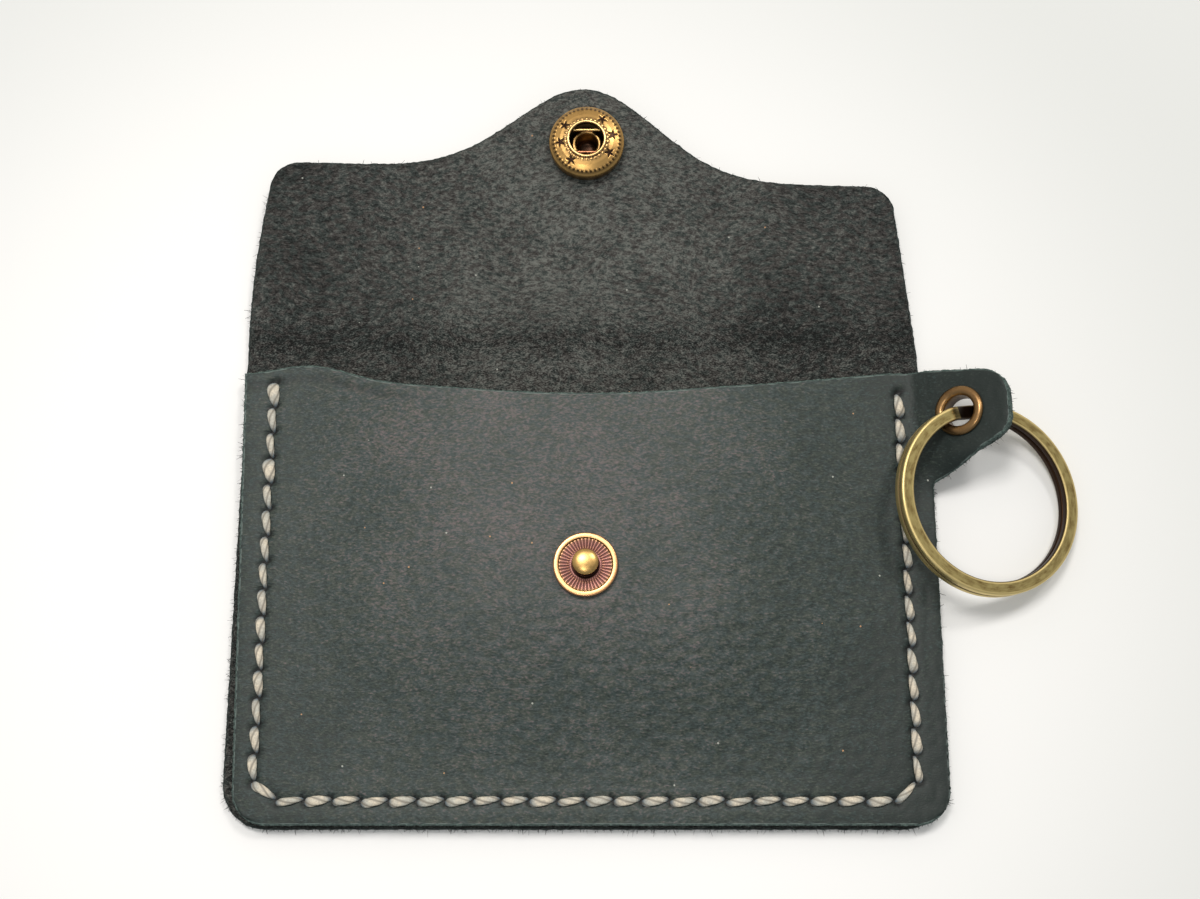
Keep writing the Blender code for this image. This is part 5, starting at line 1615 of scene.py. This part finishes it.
def waxed_thread():
    """Waxed twisted thread: warm pale strands with a soft shine, painted grey-blue shade where they dive,
    painted shade between strands.
    """
    material, add = start_finish("waxed_grey_thread", {"Specular IOR Level": 0.55})
    spot = add("TexCoord", output="Object")
    hairs = add("TexNoise", {"Vector": spot, "Scale": 1 / THREAD_HAIR, "Detail": 3.0})
    blotch = add("TexNoise", {"Vector": spot, "Scale": 1 / THREAD_BLOTCH, "Detail": 2.0})
    body, groove = (add("Attribute", output="Fac", attribute_name=name) for name in ("body", "groove"))
    warm = add("MapRange", {"Value": blotch, "From Min": 0.38, "From Max": 0.62}, **EASED)
    pale = add("Mix", {0: warm, 6: THREAD_PALE, 7: THREAD_WARM}, **COLOURED)
    # Painted grey-blue shade towards the stitch's ends, where the thread dives into the holes
    top = add("MapRange", {"Value": body, "From Min": 0.5, "From Max": 1.0}, **EASED)
    colour = add("Mix", {0: top, 6: THREAD_END_SHADE, 7: pale}, **COLOURED)
    worn = add("MapRange", {"Value": hairs, "From Min": 0.62, "From Max": 0.42, "To Max": 0.35})
    # Painted shade in the grooves between the strands
    colour = laid_over(add, colour, [(worn, THREAD_SHADE), (groove, THREAD_GROOVE_SHADE)])
    rough = add("Math", {0: hairs, 1: 0.3, 2: 0.42}, **WEIGHTED)
    normal = add("Bump", {"Height": hairs, "Distance": THREAD_HAIR / 6})
    return end_finish(material, {"Base Color": colour, "Roughness": rough, "Normal": normal})


def loose_fibre():
    """Loose leather fibres: black like the nap, with some tips paler."""
    material, add = start_finish("loose_leather_fibre", {"Roughness": 0.8, "Specular IOR Level": 0.3})
    spot = add("TexCoord", output="Object")
    tone = add("TexNoise", {"Vector": spot, "Scale": 1 / NAP_SIZE, "Detail": 2.0})
    share = add("MapRange", {"Value": tone, "From Min": 0.5, "From Max": 0.7})
    colour = add("Mix", {0: share, 6: SUEDE_DARK, 7: FIBRE_LIGHT}, **COLOURED)
    return end_finish(material, {"Base Color": colour})


def antique_plate(name, bright, body, dark, pink=None):
    """Antique plate: a stain darkens the metal, patina and painted shade darken its hollows, and its raised
    edges are worn bright.
    """
    material, add = start_finish(name, {"Metallic": 1.0})
    spot = add("TexCoord", output="Object")
    smudge = add("TexNoise", {"Vector": spot, "Scale": 1 / SMUDGE_SIZE, "Detail": 3.0})
    fine = add("TexNoise", {"Vector": spot, "Scale": 1 / TARNISH_SIZE, "Detail": 3.0})
    # shine: raised edges worn bright and painted highlights on beads; recess: patina in stamped marks,
    # painted shade in bores and under the ball
    shine, recess = (add("Attribute", output="Fac", attribute_name=name) for name in ("shine", "recess"))
    tone = add("Math", {0: fine, 1: 0.4, 2: smudge}, **WEIGHTED)
    stain = {"Value": tone, "From Min": 0.72, "From Max": 0.48, "To Max": 0.35}
    layers = [(add("MapRange", stain, **EASED), dark), (shine, bright), (recess, dark)]
    rough = add("Math", {0: smudge, 1: -0.1, 2: 0.37}, **WEIGHTED)
    if pink:
        flutes = add("Attribute", output="Fac", attribute_name="pink")
        layers.insert(1, (flutes, pink))
        rough = add("Math", {0: flutes, 1: 0.12, 2: rough}, **WEIGHTED)
    colour = laid_over(add, body, layers)
    normal = add("Bump", {"Height": fine, "Distance": TARNISH_DEPTH})
    return end_finish(material, {"Base Color": colour, "Roughness": rough, "Normal": normal})


def ring_brass():
    """Tumbled brass wire: olive flats with brown smudges and cross scratches, worn bright at the edges with a
    painted highlight.
    """
    material, add = start_finish("antique_brass_wire", {"Metallic": 1.0})
    wire = add("Attribute", output="Vector", attribute_name="wire")
    wear_and_highlight, recess = (add("Attribute", output="Fac", attribute_name=name) for name in ("wear_and_highlight", "recess"))
    along = add("Mapping", {"Vector": wire, "Scale": (0.5, 1.0, 1.0)})
    smudge = add("TexNoise", {"Vector": along, "Scale": 1 / RING_SMUDGE, "Detail": 5.0, "Roughness": 0.65})
    turned_places = (
        add("Mapping", {"Vector": wire, "Rotation": (0, 0, turn), "Scale": (0.12, 1.0, 1.0)})
        for turn in SCRATCH_TURNS)
    falling, rising = (
        add("TexNoise", {"Vector": places, "Scale": 1 / SCRATCH_WIDTH, "Detail": 2.0})
        for places in turned_places)
    lines = add("Math", {0: falling, 1: rising}, operation="MAXIMUM")
    tone = add("Math", {0: lines, 1: 0.5, 2: smudge}, **WEIGHTED)
    share = add("MapRange", {"Value": tone, "From Min": 0.52, "From Max": 0.92}, **EASED)
    # Worn edges with painted highlights; painted shade on the inner wall and between the coils
    colour = laid_over(add, RING_BROWN, [(share, RING_OLIVE), (wear_and_highlight, RING_GOLD), (recess, RING_DARK)])
    rough = add("Math", {0: smudge, 1: 0.3, 2: 0.3}, **WEIGHTED)
    normal = add("Bump", {"Height": lines, "Distance": TARNISH_DEPTH})
    return end_finish(material, {"Base Color": colour, "Roughness": rough, "Normal": normal})


def spring_steel():
    """Drawn spring wire, plated: one bar brassy, the other coppery."""
    material, add = start_finish("plated_spring_wire", {"Metallic": 1.0, "Roughness": 0.28})
    spot = add("TexCoord", output="Object")
    drawn = add("TexNoise", {"Vector": spot, "Scale": 1 / TARNISH_SIZE, "Detail": 3.0})
    shine = add("Attribute", output="Fac", attribute_name="shine")
    stain = add("MapRange", {"Value": drawn, "From Min": 0.5, "From Max": 0.8, "To Max": 0.6})
    colour = laid_over(add, WIRE_COPPER, [(shine, WIRE_BRASS), (stain, BRASS_DARK)])
    return end_finish(material, {"Base Color": colour})


def pale_board():
    """Smooth white board under the wallet, with painted light falling off away from its middle."""
    material, add = start_finish("white_board", {"Roughness": 0.75, "Specular IOR Level": 0.2})
    spot = add("TexCoord", output="Object")
    away = add("VectorMath", {0: spot, 1: BOARD_MIDDLE}, "Value", operation="DISTANCE")
    # Painted fall-off of light away from the board's middle
    share = add("MapRange", {"Value": away, "From Min": BOARD_BRIGHT, "From Max": BOARD_DIM}, **EASED)
    colour = add("Mix", {0: share, 6: FLOOR_WHITE, 7: FLOOR_DIM}, **COLOURED)
    return end_finish(material, {"Base Color": colour})


# Stage
def build_room():
    """A soft room: warm and bright behind the wallet, cooler and dimmer on the viewer's side."""
    world = bpy.data.worlds.new("soft_room")
    bpy.context.scene.world = world
    world.use_nodes = True
    add = partial(add_node, world.node_tree)
    depth = add("SeparateXYZ", {0: add("TexCoord", output="Generated")}, "Y")
    behind = add("MapRange", {"Value": depth, "From Min": -0.7, "From Max": 0.7}, **EASED)
    sky = add("Mix", {0: behind, 6: ROOM_COOL, 7: ROOM_WARM}, **COLOURED)
    background = world.node_tree.nodes["Background"]
    world.node_tree.links.new(sky, background.inputs["Color"])
    background.inputs["Strength"].default_value = ROOM_LIGHT


def build_stage():
    """A white board, the room, a window behind on the right and the photograph's camera."""
    reach = BOARD_REACH
    points = np.array([(-reach, -reach, 0), (reach, -reach, 0), (reach, reach, 0), (-reach, reach, 0)])
    floor = make_piece("board", points, [np.array([[0, 1, 2, 3]])], [pale_board()], flat_shade=True)
    build_room()
    for name, place_at, size, power, colour in LIGHTS:
        lamp = bpy.data.lights.new(name, "AREA")
        lamp.shape = "RECTANGLE"
        lamp.size, lamp.size_y = size
        lamp.energy = power
        lamp.color = to_linear(colour)[:3]
        item = bpy.data.objects.new(name, lamp)
        item.location = place_at
        item.rotation_euler = (-Vector(place_at)).to_track_quat("-Z", "Y").to_euler()
        bpy.context.scene.collection.objects.link(item)

    lens = bpy.data.cameras.new("camera")
    lens.sensor_width = SENSOR
    lens.lens = CAMERA_FOCUS_SHARE * SENSOR
    lens.clip_start = 0.01
    camera = bpy.data.objects.new("camera", lens)
    camera.location = CAMERA_PLACE
    camera.rotation_euler = (Vector(CAMERA_AIM) - Vector(CAMERA_PLACE)).to_track_quat("-Z", "Y").to_euler()
    bpy.context.scene.collection.objects.link(camera)
    bpy.context.scene.camera = camera
    bpy.context.scene.view_settings.view_transform = "Standard"


def main():
    """Dress the whole wallet."""
    holes = seam_holes()
    slants = hole_slants(holes)
    grain = grain_leather()
    nap = suede()
    black_cut = raw_edge("raw_cut_edge", EDGE_DARK, EDGE_LIGHT)
    dyed_cut = raw_edge("dyed_cut_edge", DYED_DARK, DYED_LIGHT)
    fibre = loose_fibre()
    front = build_front_leather(holes, slants, [grain, nap, dyed_cut])
    back = build_back_leather(holes, slants, [nap, grain, black_cut])
    build_fibres(front, back, fibre)
    build_threads(holes, slants, waxed_thread())
    brass = antique_plate("antique_brass_plate", BRASS_BRIGHT, BRASS_BODY, BRASS_DARK)
    copper = antique_plate("antique_copper_plate", COPPER_BRIGHT, COPPER_BODY, COPPER_DARK)
    rose = antique_plate("rose_copper_plate", STUD_GOLD, STUD_BALL, STUD_SHADE, STUD_PINK)
    flap_frame = Matrix.Translation(HINGE) @ Matrix.Rotation(FLAP_TILT, 4, "X")
    build_socket(flap_frame, brass)
    build_cap(flap_frame, brass)
    build_spring(flap_frame, spring_steel())
    build_stud(rose)
    build_post(brass)
    build_eyelet(copper)
    build_ring(ring_brass())
    build_stage()


main()
